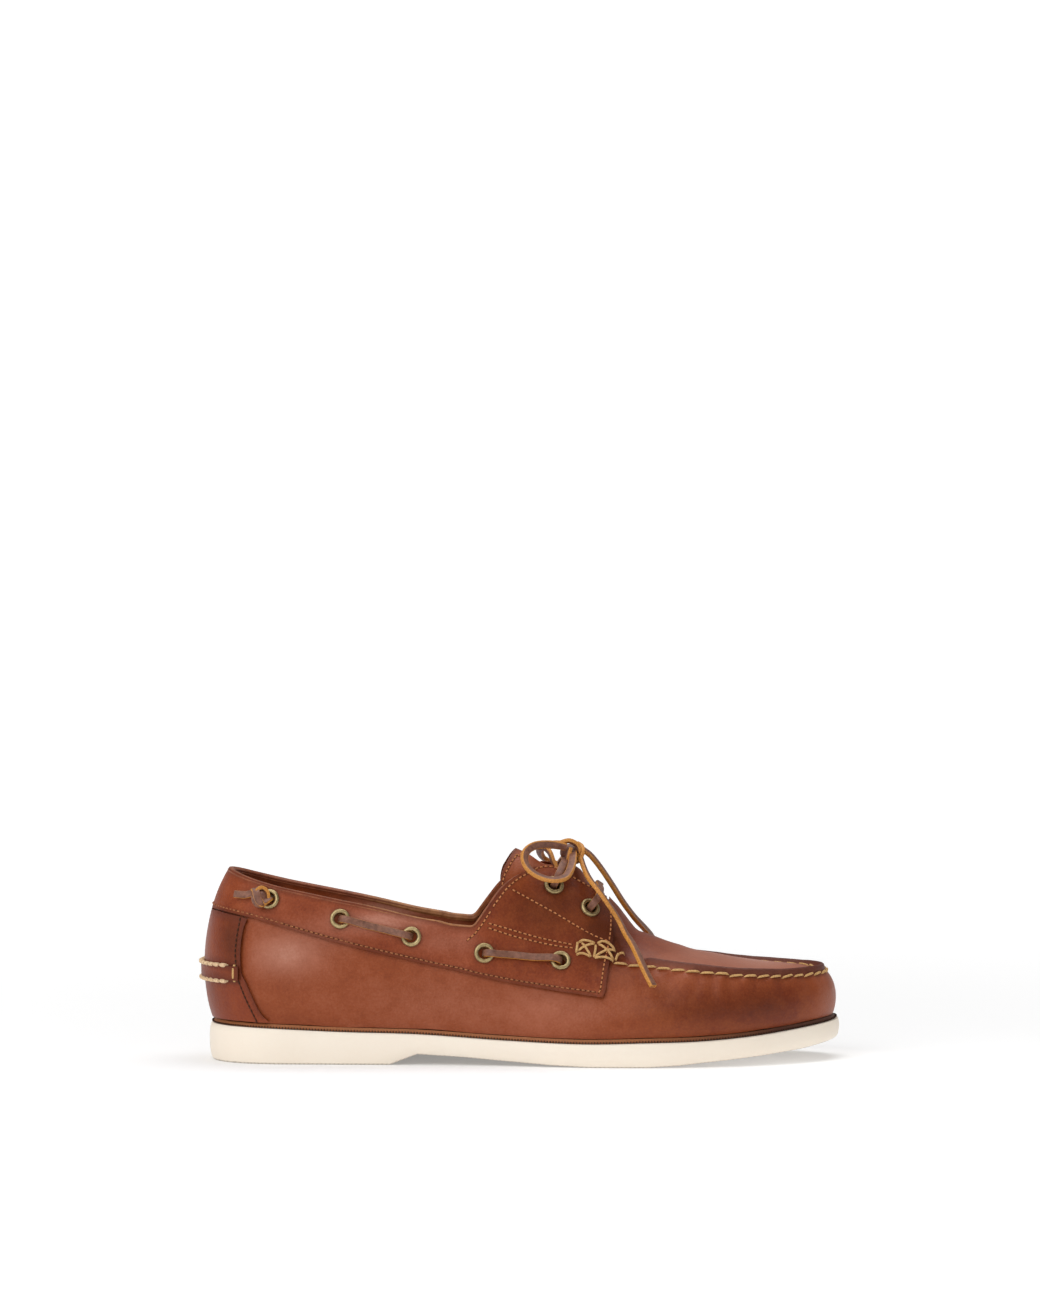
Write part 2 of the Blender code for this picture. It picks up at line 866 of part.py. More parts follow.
def make_tongue():
    outer = -UPPER_WALL - EYELET_TAIL - 2 * CLEAR
    low = CROWN_FROM * LENGTH
    high = TONGUE_FRONT * LENGTH

    def keep(centre):
        along = centre.x / LENGTH
        above = centre.z - seam_height(along)
        whole = crown_rise(along, TONGUE_SPREAD)
        return low < centre.x < high and above > whole

    made = skin("tongue", "tongue", outer, outer - TONGUE, keep)
    cut(made, prism("tongue_shape", flow(side_view(TONGUE_REAR), 2)), "INTERSECT")
    return made


# Eyelets and lace


def facing(point, normal):
    """Places a turned piece with its axis on the normal."""
    return Matrix.Translation(point) @ normal.to_track_quat("Z", "Y").to_matrix().to_4x4()


def make_eyelet(name, point, normal):
    hole, flange = EYELET_HOLE / 2, EYELET_FLANGE / 2
    seat = OVERLAY_GAP + OVERLAY + CLEAR
    tail = -UPPER_WALL - EYELET_TAIL
    barrel = hole + EYELET_WALL
    profile = (
        (hole, tail),
        (barrel, tail),
        (barrel, seat),
        (flange, seat),
        (barrel + EYELET_WALL, seat + EYELET_RISE),
        (hole, seat + 0.5 * EYELET_RISE),
    )
    bm = bmesh.new()
    turned = []
    for step in range(ROUND_STEPS):
        angle = 2 * math.pi * step / ROUND_STEPS
        turned.append([bm.verts.new((r * math.cos(angle), r * math.sin(angle), h)) for r, h in profile])
    for step in range(ROUND_STEPS):
        here, after = turned[step], turned[(step + 1) % ROUND_STEPS]
        for row in range(len(profile)):
            last = (row + 1) % len(profile)
            bm.faces.new((here[row], after[row], after[last], here[last]))
    bm.transform(facing(point, normal))
    return place(name, finished(bm, name), "brass")


def make_holes(spots):
    bm = bmesh.new()
    radius = EYELET_HOLE / 2 + EYELET_WALL + CLEAR
    for point, normal in spots:
        bmesh.ops.create_cone(
            bm,
            cap_ends=True,
            segments=ROUND_STEPS,
            radius1=radius,
            radius2=radius,
            depth=SPARE,
            matrix=facing(point, normal),
        )
    return place("eyelet_holes", finished(bm, "eyelet_holes"), None)


def make_strip(name, points, across):
    """A flat lace along the points, with the direction of its width at each."""
    line, widths = flow(points, 2), flow(across, 2)
    bm = bmesh.new()
    sections = []
    for index, (here, wide) in enumerate(zip(line, widths)):
        ahead = line[min(index + 1, len(line) - 1)] - line[max(index - 1, 0)]
        side = (wide - ahead.normalized() * wide.dot(ahead.normalized())).normalized()
        thick = side.cross(ahead).normalized()
        corners = ((-1, -1), (1, -1), (1, 1), (-1, 1))
        sections.append(
            [
                bm.verts.new(here + side * u * LACE_WIDTH / 2 + thick * v * LACE_THICK / 2)
                for u, v in corners
            ]
        )
    for here, after in zip(sections, sections[1:]):
        for corner in range(4):
            last = (corner + 1) % 4
            bm.faces.new((here[corner], after[corner], after[last], here[last]))
    bm.faces.new(sections[0])
    bm.faces.new(sections[-1])
    return place(name, finished(bm, name), "rawhide")


def make_bar(name, first, second):
    """The lace outside the collar, out of one eyelet and into the next."""
    (start, start_out), (end, end_out) = first, second
    way = (end - start).normalized()
    out = (start_out + end_out).normalized()
    line = [start + way * run + start_out * lift for run, lift in BAR_END]
    for share in (0.35, 0.5, 0.65):
        middle = start.lerp(end, share)
        found = TREE.find_nearest(middle)[0]
        line.append(found + out * BAR_LIFT)
    line += [end - way * run + end_out * lift for run, lift in reversed(BAR_END)]
    return make_strip(name, line, [out.cross(way)] * len(line))


def make_crossing(name, near, far, crest):
    """The lace from an eyelet over the wing and the tongue to the other side's eyelet."""
    along, lift, ahead = crest
    top = Vector((along * LENGTH, 0, seam_height(along) + crown_rise(along, 0) + lift))
    halves, widths = [], []
    for point, out in (near, far):
        up = (top - point + Vector((ahead, 0, 0))).normalized()
        up = (up - out * up.dot(out)).normalized()
        half = [point + up * run + out * lift for run, lift in BAR_END[:2]]
        half += [point + up * run + out * (lift + CROSSING_LIFT) for run, lift in BAR_END[2:]]
        found, normal = TREE.find_nearest(half[-1].lerp(top, 0.5))[:2]
        half.append(found + normal * BAR_LIFT)
        halves.append(half)
        wide = out.cross(up)
        widths.append([wide if wide.x > 0 else -wide] * len(half))
    line = halves[0] + [top] + halves[1][::-1]
    return make_strip(name, line, widths[0] + [Vector((1.0, 0.0, 0.0))] + widths[1])


def make_tube(name, points, steps=1):
    curve = bpy.data.curves.new(name, "CURVE")
    curve.dimensions = "3D"
    curve.bevel_depth = CORD / 2
    curve.bevel_resolution = 1
    curve.use_fill_caps = True
    line = flow(points, steps)
    spline = curve.splines.new("POLY")
    spline.points.add(len(line) - 1)
    for item, point in zip(spline.points, line):
        item.co = (*point, 1.0)
    curve.materials.append(material("rawhide"))
    made = bpy.data.objects.new(name, curve)
    PARTS.objects.link(made)
    made.parent = ROOT
    return made


def make_knot():
    bm = bmesh.new()
    size = Matrix.Diagonal((*KNOT_SIZE, 1.0))
    place_at = Matrix.Translation(KNOT_CENTRE)
    bmesh.ops.create_uvsphere(bm, u_segments=12, v_segments=8, radius=0.5, matrix=place_at @ size)
    return place("lace_knot", finished(bm, "lace_knot"), "rawhide")


def make_stop_knot(name, eyelet):
    """A lace end that comes out of the rear eyelet, takes one turn and lies back along the collar."""
    point, out = eyelet
    back = Vector((-1, 0, 0))
    back = (back - out * back.dot(out)).normalized()
    up = out.cross(back)
    if up.z < 0:
        up = -up
    line = []
    for behind, above, height in STOP_KNOT:
        found, normal = TREE.find_nearest(point + back * behind + up * above)[:2]
        line.append(found + normal * height)
    return make_tube(name, line)


def make_boat_shoe():
    sides = (("lateral", False), ("medial", True))
    spots = {side: [spot(*row, medial) for row in EYELETS] for side, medial in sides}
    holes = make_holes([item for side, _ in sides for item in spots[side]])
    make_outsole()
    make_sheet("midsole", "rand", RAND_INSET, CLEAR, RAND)
    above = RAND + UPPER_WALL + 3 * CLEAR
    make_sheet("insole", "sock", INSOLE_INSET, above, INSOLE)
    make_upper(holes)
    make_band(holes)
    make_counter()
    make_tongue()
    for side, medial in sides:
        for number, (point, normal) in enumerate(spots[side], 1):
            make_eyelet(f"eyelet_{side}_{number}", point, normal)
        make_bar(f"lace_bar_rear_{side}", spots[side][1], spots[side][2])
        make_bar(f"lace_bar_front_{side}", spots[side][3], spots[side][4])
        make_stop_knot(f"lace_stop_{side}", spots[side][0])
    make_crossing("lace_crossing_low", spots["lateral"][6], spots["medial"][6], LOW_CREST)
    make_crossing("lace_crossing_high", spots["lateral"][5], spots["medial"][5], HIGH_CREST)
    make_knot()
    make_tube("lace_loop_near", LOOP_NEAR)
    make_tube("lace_loop_far", LOOP_FAR)
    make_tube("lace_end_near", END_NEAR)
    make_tube("lace_end_far", END_FAR, 2)


for old in list(bpy.data.objects):
    bpy.data.objects.remove(old)
PARTS = bpy.data.collections.new("boat_shoe")
CUTTERS = bpy.data.collections.new("cutters")
bpy.context.scene.collection.children.link(PARTS)
bpy.context.scene.collection.children.link(CUTTERS)
ROOT = bpy.data.objects.new("shoe_root", None)
ROOT.location = (-HEEL_SEAT, 0.0, 0.0)
PARTS.objects.link(ROOT)
SURFACE = make_surface()
TREE = BVHTree.FromBMesh(SURFACE)
make_boat_shoe()
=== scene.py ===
"""Dresses the boat shoe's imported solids: fine leather, sole, brass, thread, rawhide lace and a plain stage.

Sizes are metres in the shoe's own frame, from the back of the heel and the floor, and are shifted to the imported
frame when a mesh is settled. "Seen" points are millimetres of the side view as a camera five degrees above the
floor sees it.
"""

import math

import bmesh
import bpy
import numpy as np
from bpy.props import FloatProperty, PointerProperty
from mathutils import Matrix, Vector
from mathutils.bvhtree import BVHTree
from mathutils.kdtree import KDTree


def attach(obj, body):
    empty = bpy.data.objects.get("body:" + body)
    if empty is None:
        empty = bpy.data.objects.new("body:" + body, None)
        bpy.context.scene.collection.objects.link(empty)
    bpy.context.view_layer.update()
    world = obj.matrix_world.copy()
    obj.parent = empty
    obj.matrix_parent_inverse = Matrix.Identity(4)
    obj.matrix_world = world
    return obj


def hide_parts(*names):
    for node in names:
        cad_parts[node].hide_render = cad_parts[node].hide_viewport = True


bl_info = {
    "name": "Boat shoe",
    "version": (1, 0, 0),
    "blender": (4, 5, 0),
    "location": "3D Viewport > Sidebar > Boat shoe",
    "description": "Dresses a boat shoe in leather, rubber, brass, thread and rawhide, on a plain stage",
    "category": "Object",
}

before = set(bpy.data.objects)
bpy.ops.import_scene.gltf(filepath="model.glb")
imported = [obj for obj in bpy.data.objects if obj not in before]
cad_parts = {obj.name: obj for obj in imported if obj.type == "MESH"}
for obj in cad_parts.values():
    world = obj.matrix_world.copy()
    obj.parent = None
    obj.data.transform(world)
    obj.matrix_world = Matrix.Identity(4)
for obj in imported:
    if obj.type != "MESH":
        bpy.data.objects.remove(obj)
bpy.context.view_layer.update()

# Driving sizes, which the solids have too
LENGTH = 0.296
BALL_WIDTH = 0.106
HEEL_WIDTH = 0.069
TOE_LEAN = 0.007
HEEL_STACK = 0.0174
FOREFOOT_SOLE = 0.0110
ARCH_RISE = 0.0050
TOE_SPRING = 0.0100
COLLAR_HEIGHT = 0.0890
INSTEP_RISE = 0.0360
SEAM_INSET = 0.0195
BULGE = 0.0050
HEEL_SEAT = 0.0450

# Leather, rubber and clearances
CLEAR = 0.0003
RAND = 0.0018
RAND_INSET = 0.0018
INSOLE = 0.0030
INSOLE_INSET = 0.0066
UPPER_WALL = 0.0018
FEATHER_INSET = 0.0030
MARGIN = 0.0100
OVERLAY = 0.0013
OVERLAY_GAP = 0.0003
OVERHANG = 0.0012
TONGUE = 0.0020
TONGUE_SPREAD = 0.80
RIDGE = 0.0030
KICKER = 0.0016
KICKER_LOW = 0.0385
KICKER_HIGH = 0.0463
KICKER_REACH = 0.0140
SPARE = 0.0140
ROOF = 0.1500
BEHIND = -0.0300

# Brass and lace
EYELET_HOLE = 0.0054
EYELET_FLANGE = 0.0095
EYELET_RISE = 0.0011
EYELET_WALL = 0.0004
EYELET_TAIL = 0.0004
LACE_WIDTH = 0.0034
LACE_THICK = 0.0019

# Outline of the sole: 0 is the heel's width and 1 the ball's
OUTLINE = (
    # along, lateral, medial
    (0, 0, 0), (0.12, 0.02, 0.01), (0.2, 0.08, 0.03), (0.34, 0.2, 0.02), (0.46, 0.46, 0.1), (0.59, 0.9, 0.62),
    (0.7, 1.08, 0.91), (0.78, 1.08, 0.82), (0.86, 1.03, 0.52), (0.94, 0.8, 0.3), (1, 0.7, 0.25),
)
HEEL_ROUND = 0.125
HEEL_POWER = 2.2
TOE_ROUND = 0.30
TOE_POWER = 2.4
LEAN_FROM = 0.55

# Top of the rubber: shares of the heel stack, the forefoot's sole and the toe spring
SOLE_TOP = (
    # along, heel, forefoot, spring
    (0, 1, 0, 0), (0.08, 0.97, 0, 0), (0.206, 0.88, 0, 0), (0.334, 0.7, 0.2, 0), (0.46, 0.35, 0.55, 0),
    (0.588, 0, 0.99, 0), (0.7, 0, 0.98, 0.08), (0.777, 0, 0.96, 0.16), (0.858, 0, 0.93, 0.37),
    (0.936, 0, 0.9, 0.66), (1, 0, 0.88, 0.93),
)

# Underside: shares of the arch and the toe spring, straight between rows so that heel and forefoot stay flat
SOLE_BOTTOM = (
    # along, arch, spring
    (0, 0, 0), (0.287, 0, 0), (0.33, 1, 0), (0.4, 0.78, 0), (0.47, 0.45, 0), (0.54, 0.15, 0), (0.6, 0, 0),
    (0.69, 0, 0), (0.74, 0, 0.08), (0.78, 0, 0.2), (0.83, 0, 0.34), (0.88, 0, 0.48), (0.94, 0, 0.68), (1, 0, 1),
)

# Side of the rubber, from the tread to the top edge
SOLE_SIDE = (
    # share of the height, inset
    (0, 0.0022), (0.05, 0.0012), (0.18, 0.0005), (0.4, 0.0001), (0.62, 0), (0.86, 0.0003), (0.96, 0.0007),
    (1, 0.0013),
)

# Collar rim at the back, carried forward as the double seam and the plug's seam
SEAM = (
    # along, height as a share of the collar, lateral and medial inset as shares of SEAM_INSET
    (0, 1, 0.54, 0.54), (0.1, 0.93, 0.38, 0.38), (0.19, 0.868, 0.31, 0.31), (0.253, 0.826, 0.31, 0.28),
    (0.345, 0.757, 0.33, 0.24), (0.443, 0.724, 0.44, 0.3), (0.507, 0.683, 0.72, 0.5), (0.578, 0.625, 0.98, 0.78),
    (0.642, 0.537, 1, 0.9), (0.71, 0.514, 0.82, 0.78), (0.784, 0.492, 0.53, 0.55), (0.858, 0.47, 0.35, 0.4),
    (0.94, 0.457, 0.31, 0.33), (1, 0.461, 0.33, 0.33),
)

# Bow of the side wall: the two inner handles of a cubic curve from the feather to the seam
WALL = (
    # along, low handle's swell and rise, high handle's inset as a share of the seam's and its rise
    (0, 0.56, 0.22, -0.31, 0.66), (0.1, 0.35, 0.22, -0.08, 0.66), (0.25, 0.3, 0.25, 0.15, 0.66),
    (0.345, 0.2, 0.25, 0.25, 0.66), (0.443, 0.2, 0.26, 0.42, 0.68), (0.507, 0.3, 0.27, 0.58, 0.7),
    (0.578, 0.4, 0.28, 0.66, 0.72), (0.642, 0.5, 0.3, 0.6, 0.74), (0.71, 0.65, 0.32, 0.47, 0.76),
    (0.784, 0.6, 0.34, 0.36, 0.78), (0.858, 0.45, 0.34, 0.25, 0.78), (0.94, 0.1, 0.32, 0.16, 0.76),
    (1, -0.13, 0.3, 0.13, 0.75),
)

# Crown above the seam, as a share of INSTEP_RISE
CROWN = (
    # along, rise
    (0.38, 1.4), (0.443, 1.19), (0.483, 1.075), (0.534, 1), (0.573, 0.925), (0.608, 0.835), (0.635, 0.71),
    (0.666, 0.4), (0.689, 0.338), (0.716, 0.29), (0.753, 0.232), (0.777, 0.188), (0.818, 0.165), (0.855, 0.137),
    (0.936, 0.095), (0.972, 0.062), (1, 0),
)
CROWN_FROM = 0.385

# Raised seam across its width: distance inside the seam line and share of RIDGE
RIDGE_ROWS = (
    # distance, lift
    (0.0004, 0.46), (0.0008, 0.84), (0.0013, 0.99), (0.0019, 1.02), (0.0024, 0.9), (0.0028, 0.62), (0.0033, 0.32),
    (0.004, 0.1), (0.005, 0),
)
RIDGE_FROM = 0.672
RIDGE_FULL = 0.700
RIDGE_LEAN = 0.05

# Side view of the overlay: shares of the length and of the collar height
BAND_LOW = (
    # along, up
    (0.015, 0.8), (0.068, 0.77), (0.149, 0.694), (0.23, 0.621), (0.328, 0.543), (0.399, 0.494), (0.463, 0.447),
    (0.544, 0.402), (0.611, 0.371),
)
BAND_FRONT = (
    # along, up
    (0.622, 0.366), (0.627, 0.4), (0.632, 0.52), (0.637, 0.6), (0.64, 0.68), (0.639, 0.75), (0.635, 0.8),
)
LACE_EDGE = (
    # along, up
    (0.63, 0.83), (0.608, 0.903), (0.573, 0.977), (0.552, 1.015), (0.534, 1.03),
)
WING_REAR = (
    # along, up
    (0.515, 1.025), (0.5, 1.003), (0.483, 0.975), (0.463, 0.92), (0.443, 0.832), (0.43, 0.77), (0.419, 0.728),
    (0.402, 0.726), (0.38, 0.735), (0.355, 0.76),
)
TONGUE_REAR = (
    # along, up
    (0.7, 1.3), (0.5, 1.3), (0.493, 1.125), (0.487, 1.115), (0.478, 1.08), (0.47, 1.035), (0.464, 0.995),
    (0.461, 0.93), (0.466, 0.87), (0.48, 0.79), (0.51, 0.7), (0.56, 0.6), (0.7, 0.4),
)
TONGUE_FRONT = 0.690
COUNTER_EDGE = (
    # along, up
    (0.062, 0.763), (0.055, 0.7), (0.051, 0.58), (0.053, 0.48), (0.06, 0.43), (0.072, 0.34), (0.083, 0.27),
    (0.096, 0.225),
)

# Eyelets in side view, heel to throat
EYELETS = (
    # along, up
    (0.098, 0.862), (0.209, 0.762), (0.321, 0.671), (0.436, 0.588), (0.556, 0.543), (0.545, 0.921), (0.601, 0.804),
)

# Lace over an eyelet: run from the hole's centre and height over the leather
BAR_END = (
    # run, lift
    (0, -0.0012), (0.0002, 0.0014), (0.0015, 0.0037), (0.0038, 0.0045), (0.0062, 0.0041),
)
BAR_LIFT = 0.0031
CROSSING_LIFT = 0.0009
# Crossings over the throat: share of the length, height over the instep and sweep ahead of the eyelets
LOW_CREST = (0.617, 0.00258, 0.004)
HIGH_CREST = (0.565, 0.0027, 0.0)
# The bow, its points listed
LOOP_NEAR = (
    (0.1672, -0.0065, 0.1), (0.16, -0.0095, 0.1012), (0.153, -0.0135, 0.101), (0.1487, -0.0185, 0.0985),
    (0.148, -0.0235, 0.0945), (0.1505, -0.0275, 0.0905), (0.1555, -0.0295, 0.0875), (0.1615, -0.0295, 0.0862),
    (0.167, -0.026, 0.0872), (0.1697, -0.019, 0.0912), (0.1706, -0.011, 0.0952), (0.1708, -0.0054, 0.097),
)
LOOP_FAR = (
    (0.1672, 0.0045, 0.1), (0.162, 0.0085, 0.0998), (0.1572, 0.014, 0.0985), (0.1552, 0.02, 0.096),
    (0.1565, 0.0255, 0.0925), (0.1605, 0.0275, 0.09), (0.1655, 0.025, 0.0895), (0.1692, 0.018, 0.092),
    (0.1706, 0.009, 0.0952), (0.1708, 0.0043, 0.097),
)
END_NEAR = (
    (0.174, -0.0044, 0.0955), (0.176, -0.012, 0.09), (0.1785, -0.02, 0.0856), (0.182, -0.0255, 0.0815),
    (0.1855, -0.027, 0.0768), (0.1888, -0.0258, 0.072), (0.192, -0.0245, 0.0668), (0.195, -0.0272, 0.0612),
    (0.1985, -0.035, 0.0562), (0.2015, -0.044, 0.0505), (0.2045, -0.0502, 0.0445), (0.2078, -0.0542, 0.0385),
)
END_FAR = (
    (0.1745, 0.002, 0.0985), (0.179, 0.0045, 0.095), (0.184, 0.008, 0.0885), (0.1892, 0.0115, 0.0805),
    (0.1945, 0.016, 0.0718), (0.2, 0.023, 0.064), (0.2045, 0.0315, 0.0585), (0.2085, 0.04, 0.053),
    (0.2115, 0.047, 0.046),
)

# Lace end at the rear eyelet: behind and above the hole's centre, and height over the leather
STOP_KNOT = (
    # behind, above, height
    (0, 0, -0.001), (-0.0002, 0, 0.0022), (0.001, -0.0015, 0.0048), (0.0025, -0.0027, 0.0064),
    (0.0036, -0.0012, 0.0078), (0.0042, 0.0012, 0.008), (0.0048, 0.0031, 0.0068), (0.0058, 0.0036, 0.005),
    (0.0074, 0.0026, 0.0039), (0.0106, 0.0022, 0.0038), (0.015, 0.003, 0.004),
)
# Fineness of the dressed surfaces
STATIONS = 190
WALL_STEPS = 20
CROWN_STEPS = 30
ROUND_STEPS = 28

# How far the tongue swells up between the wings, and dips near its end
TONGUE_SWELL = 0.0028
TONGUE_DIP = 0.0025
# How far the plug's rear edge is tucked down, and where
PLUG_TUCK = 0.0024
TUCK_BACK = 0.176
TUCK_FRONT = 0.199
TUCK_SPREAD = 0.017
# How far the tail of a stop end runs on
STOP_TAIL = 0.0014

# The side view's tilt, and where rays start
SIGHT = math.radians(5)
FAR_OFF = 0.3
# Where the shoe stands in the picture: its rows, the shoe's row, and the point looked at
PICTURE_HIGH = 1300
SHOE_ROW = 952
SHOE_MIDDLE = (0.1008, 0.0496)

# Sewing: how far rows stand from their edges, turns round the outline where the plug's rows run, and threads
BAND_ROW = 0.0013
WING_ROW = 0.0022
TONGUE_ROW = 0.0016
PLUG_ROW = 0.0042
SEAM_TURNS = (0.588, 1.412)
PLUG_TURNS = (0.64, 1.36)
RIM_INSET = 0.0010
RIM_THREAD = 0.0037
CROSS_THREAD = 0.0012
FEATHER_THREAD = 0.0008
BEAD_PITCH = 0.0041
BEAD_STITCH = (0.0046, 0.0020, 0.0025)

# Knot and stop rings: middles, cores and the turn of lace, and how much broader the loose lace is
KNOT_MIDDLE = (0.1694, 0.0008, 0.0966)
KNOT_CORE = (0.0098, 0.0076, 0.0082)
RING_AT = (0.0036, 0.0006, 0.0046)
RING_RADII = (0.0042, 0.0034)
RING_CORE = (0.0062, 0.0062, 0.0046)
LOOSE_LACE = 1.12

# Soft troughs and ridges of the leather, lateral side seen, millimetres
CREASES = (
    # x, z at the top, x, z at the bottom, width, depth, lateral share, medial share
    (204, 42.5, 202, 33, 2, -0.55, 1, 0.7), (210, 42, 209, 37, 1.6, 0.3, 1, 0.5),
    (216, 41.5, 214, 31, 2, -0.55, 1, 0.8), (223, 41.5, 222, 36, 1.6, 0.3, 1, 0.8),
    (229, 41, 227, 33, 1.8, -0.5, 1, 1), (235, 41, 235.5, 31.5, 1.8, -0.55, 1, 0.8),
    (239.3, 41, 240, 30, 1.7, 0.75, 1, 0.8), (243.5, 40.5, 245, 31, 1.8, -0.6, 1, 0.8),
    (251, 40, 251, 33, 1.7, 0.35, 1, 0.9), (256, 39.5, 257, 31, 1.9, -0.55, 1, 0.9),
    (262.5, 39, 264, 34, 1.6, 0.3, 1, 0.8), (268, 39, 270, 31, 1.9, -0.55, 1, 1),
    (274, 39, 277, 34, 1.6, 0.3, 1, 1), (279.5, 39.5, 283, 33, 1.8, -0.5, 1, 1),
    (285, 40, 289, 34, 1.8, -0.35, 1, 1), (178, 42, 171, 22, 7, -0.5, 1, 0.8), (118, 61, 114, 42, 5, -0.8, 1, 1),
    (126, 54, 128, 40, 5, 0.45, 1, 1), (150, 52, 152, 38, 6, 0.4, 1, 0.7), (96, 52, 102, 22, 12, -0.6, 1, 0.8),
    (60, 47, 66, 24, 14, 0.5, 1, 0.8), (34, 50, 40, 26, 10, -0.35, 1, 0.8),
)

# Broad lighter and darker patches of the leather, lateral side seen, millimetres. Besides its own colour they hold
# painted light: painted highlights and pink sheen on the quarter, band and toe top, and painted shade low on the
# vamp and toe.
PATCHES = (
    # x, z, reach along, reach up, lighter, redder
    (36, 51, 15, 9, 0.74, -0.55), (52, 58, 18, 7, 0.1, -0.15), (110, 31, 30, 9, 0.06, -0.1),
    (156, 26, 34, 10, 0.3, -0.05), (205, 30, 14, 12, 0, 0.1), (232, 27, 24, 11, -0.62, 0.35),
    (264, 28, 16, 10, -0.52, 0.25), (290, 26, 7, 12, 0.22, -0.1), (160, 74, 26, 16, -0.72, 0.55),
    (185, 57, 12, 15, -0.8, 0.5), (186, 66, 7, 12, -0.45, 0.5), (150, 50, 14, 9, -0.15, 0.1),
    (80, 67, 24, 5, 1, -0.5), (147, 90, 9, 9, 0.5, 0), (112, 58, 18, 5, 0.15, -0.25), (20, 82, 22, 8, 0.05, 0),
    (11, 58, 6, 13, -0.85, 0.5), (2, 34, 6, 10, -0.2, 0.1), (232, 49, 30, 5, 0.35, -0.35),
    (262, 46, 18, 5, 0.74, -0.45), (206, 55, 14, 8, -0.28, -0.1),
)

# Stitch lines as seen, millimetres
DOUBLE_UPPER = ((130.7, 62.7), (141.0, 59.7), (153.8, 55.9), (170.1, 52.4))
DOUBLE_LOWER = ((130.7, 60.6), (145.3, 55.8), (161.3, 52.1), (170.7, 50.8))
DIAGONAL = ((141.5, 78.3), (161.3, 67.5), (177.7, 57.8), (186.7, 53.8))
WING_TAIL = ((132.2, 68.4), (126.1, 59.2), (121.4, 54.3))
COUNTER_ROWS = (
    ((16.1, 65.8), (14.4, 56.6), (13.7, 48.2), (14.4, 39.2)), ((15.1, 36.4), (18.4, 28), (23.6, 17.2)),
)
CROSS_STITCHES = (
    ((172.5, 53.9), (171.8, 48.6)), ((172.5, 49.4), (176.6, 52.1), (180.5, 52.9)),
    ((173.1, 53.5), (175.4, 54.5), (180.5, 53.2)), ((174.2, 53.9), (178.7, 46.7)),
    ((171.8, 47.7), (174.8, 48.2), (178.4, 46.7)), ((180.9, 52.5), (180, 46.4)),
    ((180, 46.4), (185.6, 49.7), (190.1, 49.4)), ((181.5, 53), (183.8, 53.8), (186.8, 52.7), (189.8, 49.7)),
    ((182.1, 52.8), (186.2, 49.7), (189.2, 45.3)), ((180.3, 46.2), (185, 46.2), (189.2, 44.6)),
    ((191.6, 48.2), (190.3, 45.2)), ((191.6, 47.9), (194.3, 47.8)),
)

# Lace pieces that only the scene has: the knot's wraps
KNOT_WRAPS = (
    ((0.154, 0.006, 0.0992), (0.1572, 0.004, 0.0988), (0.1598, 0.001, 0.0965), (0.1612, -0.0015, 0.093),
    (0.1628, -0.0035, 0.0895)), ((0.1612, -0.0052, 0.0998), (0.165, -0.0062, 0.1018), (0.169, -0.006, 0.1026),
    (0.1726, -0.0056, 0.1006), (0.174, -0.0052, 0.0966)), ((0.1694, -0.0064, 0.0992), (0.1686, -0.0074, 0.0962),
    (0.1678, -0.0078, 0.093), (0.1672, -0.0074, 0.0902)), ((0.173, -0.001, 0.1004), (0.1748, -0.0044, 0.0992),
    (0.175, -0.0064, 0.0966), (0.1734, -0.0058, 0.0938), (0.1712, -0.003, 0.0926)),
)


# Tables and curves


def straight(rows, column, along):
    """A column of a table at this station, straight between rows."""
    along = min(max(along, rows[0][0]), rows[-1][0])
    for low, high in zip(rows, rows[1:]):
        if along <= high[0]:
            share = (along - low[0]) / (high[0] - low[0])
            return low[column] + (high[column] - low[column]) * share
    return rows[-1][column]


def hermite(u):
    """Weights of a span's start, slope out of it, end and slope into it, at share u."""
    return 2 * u**3 - 3 * u**2 + 1, u**3 - 2 * u**2 + u, 3 * u**2 - 2 * u**3, u**3 - u**2


def smooth(rows, column, along):
    """A column of a table at this station, as a smooth curve through its rows."""
    along = min(max(along, rows[0][0]), rows[-1][0])
    last = len(rows) - 1
    index = next(i for i in range(last) if along <= rows[i + 1][0])
    low, high = rows[index], rows[index + 1]
    gap = high[0] - low[0]
    slopes = []
    for at in (index, index + 1):
        before, after = rows[max(at - 1, 0)], rows[min(at + 1, last)]
        slopes.append((after[column] - before[column]) / (after[0] - before[0]))
    start, leave, end, arrive = hermite((along - low[0]) / gap)
    return low[column] * start + slopes[0] * gap * leave + high[column] * end + slopes[1] * gap * arrive


def ease(value):
    value = min(max(value, 0.0), 1.0)
    return value * value * (3 - 2 * value)


def flow(points, steps):
    """A smooth line through the points, with this many steps a span."""
    points = [Vector(point) for point in points]
    line = []
    for index, (start, end) in enumerate(zip(points, points[1:])):
        before, after = points[max(index - 1, 0)], points[min(index + 2, len(points) - 1)]
        for step in range(steps):
            here, leave, there, arrive = hermite(step / steps)
            line.append(start * here + (end - before) * 0.5 * leave + end * there + (after - start) * 0.5 * arrive)
    return line + [points[-1]]


def run_at(points, index):
    """Which way a line of points runs at one of them."""
    return (points[min(index + 1, len(points) - 1)] - points[max(index - 1, 0)]).normalized()


def circle(steps):
    """(cosine, sine) at even steps once round."""
    return [(math.cos(2 * math.pi * step / steps), math.sin(2 * math.pi * step / steps)) for step in range(steps)]


def side_view(rows):
    """Shares of the length and of the collar height as points of the side view."""
    return [(along * LENGTH, 0.0, up * COLLAR_HEIGHT) for along, up in rows]


# Outline and sole


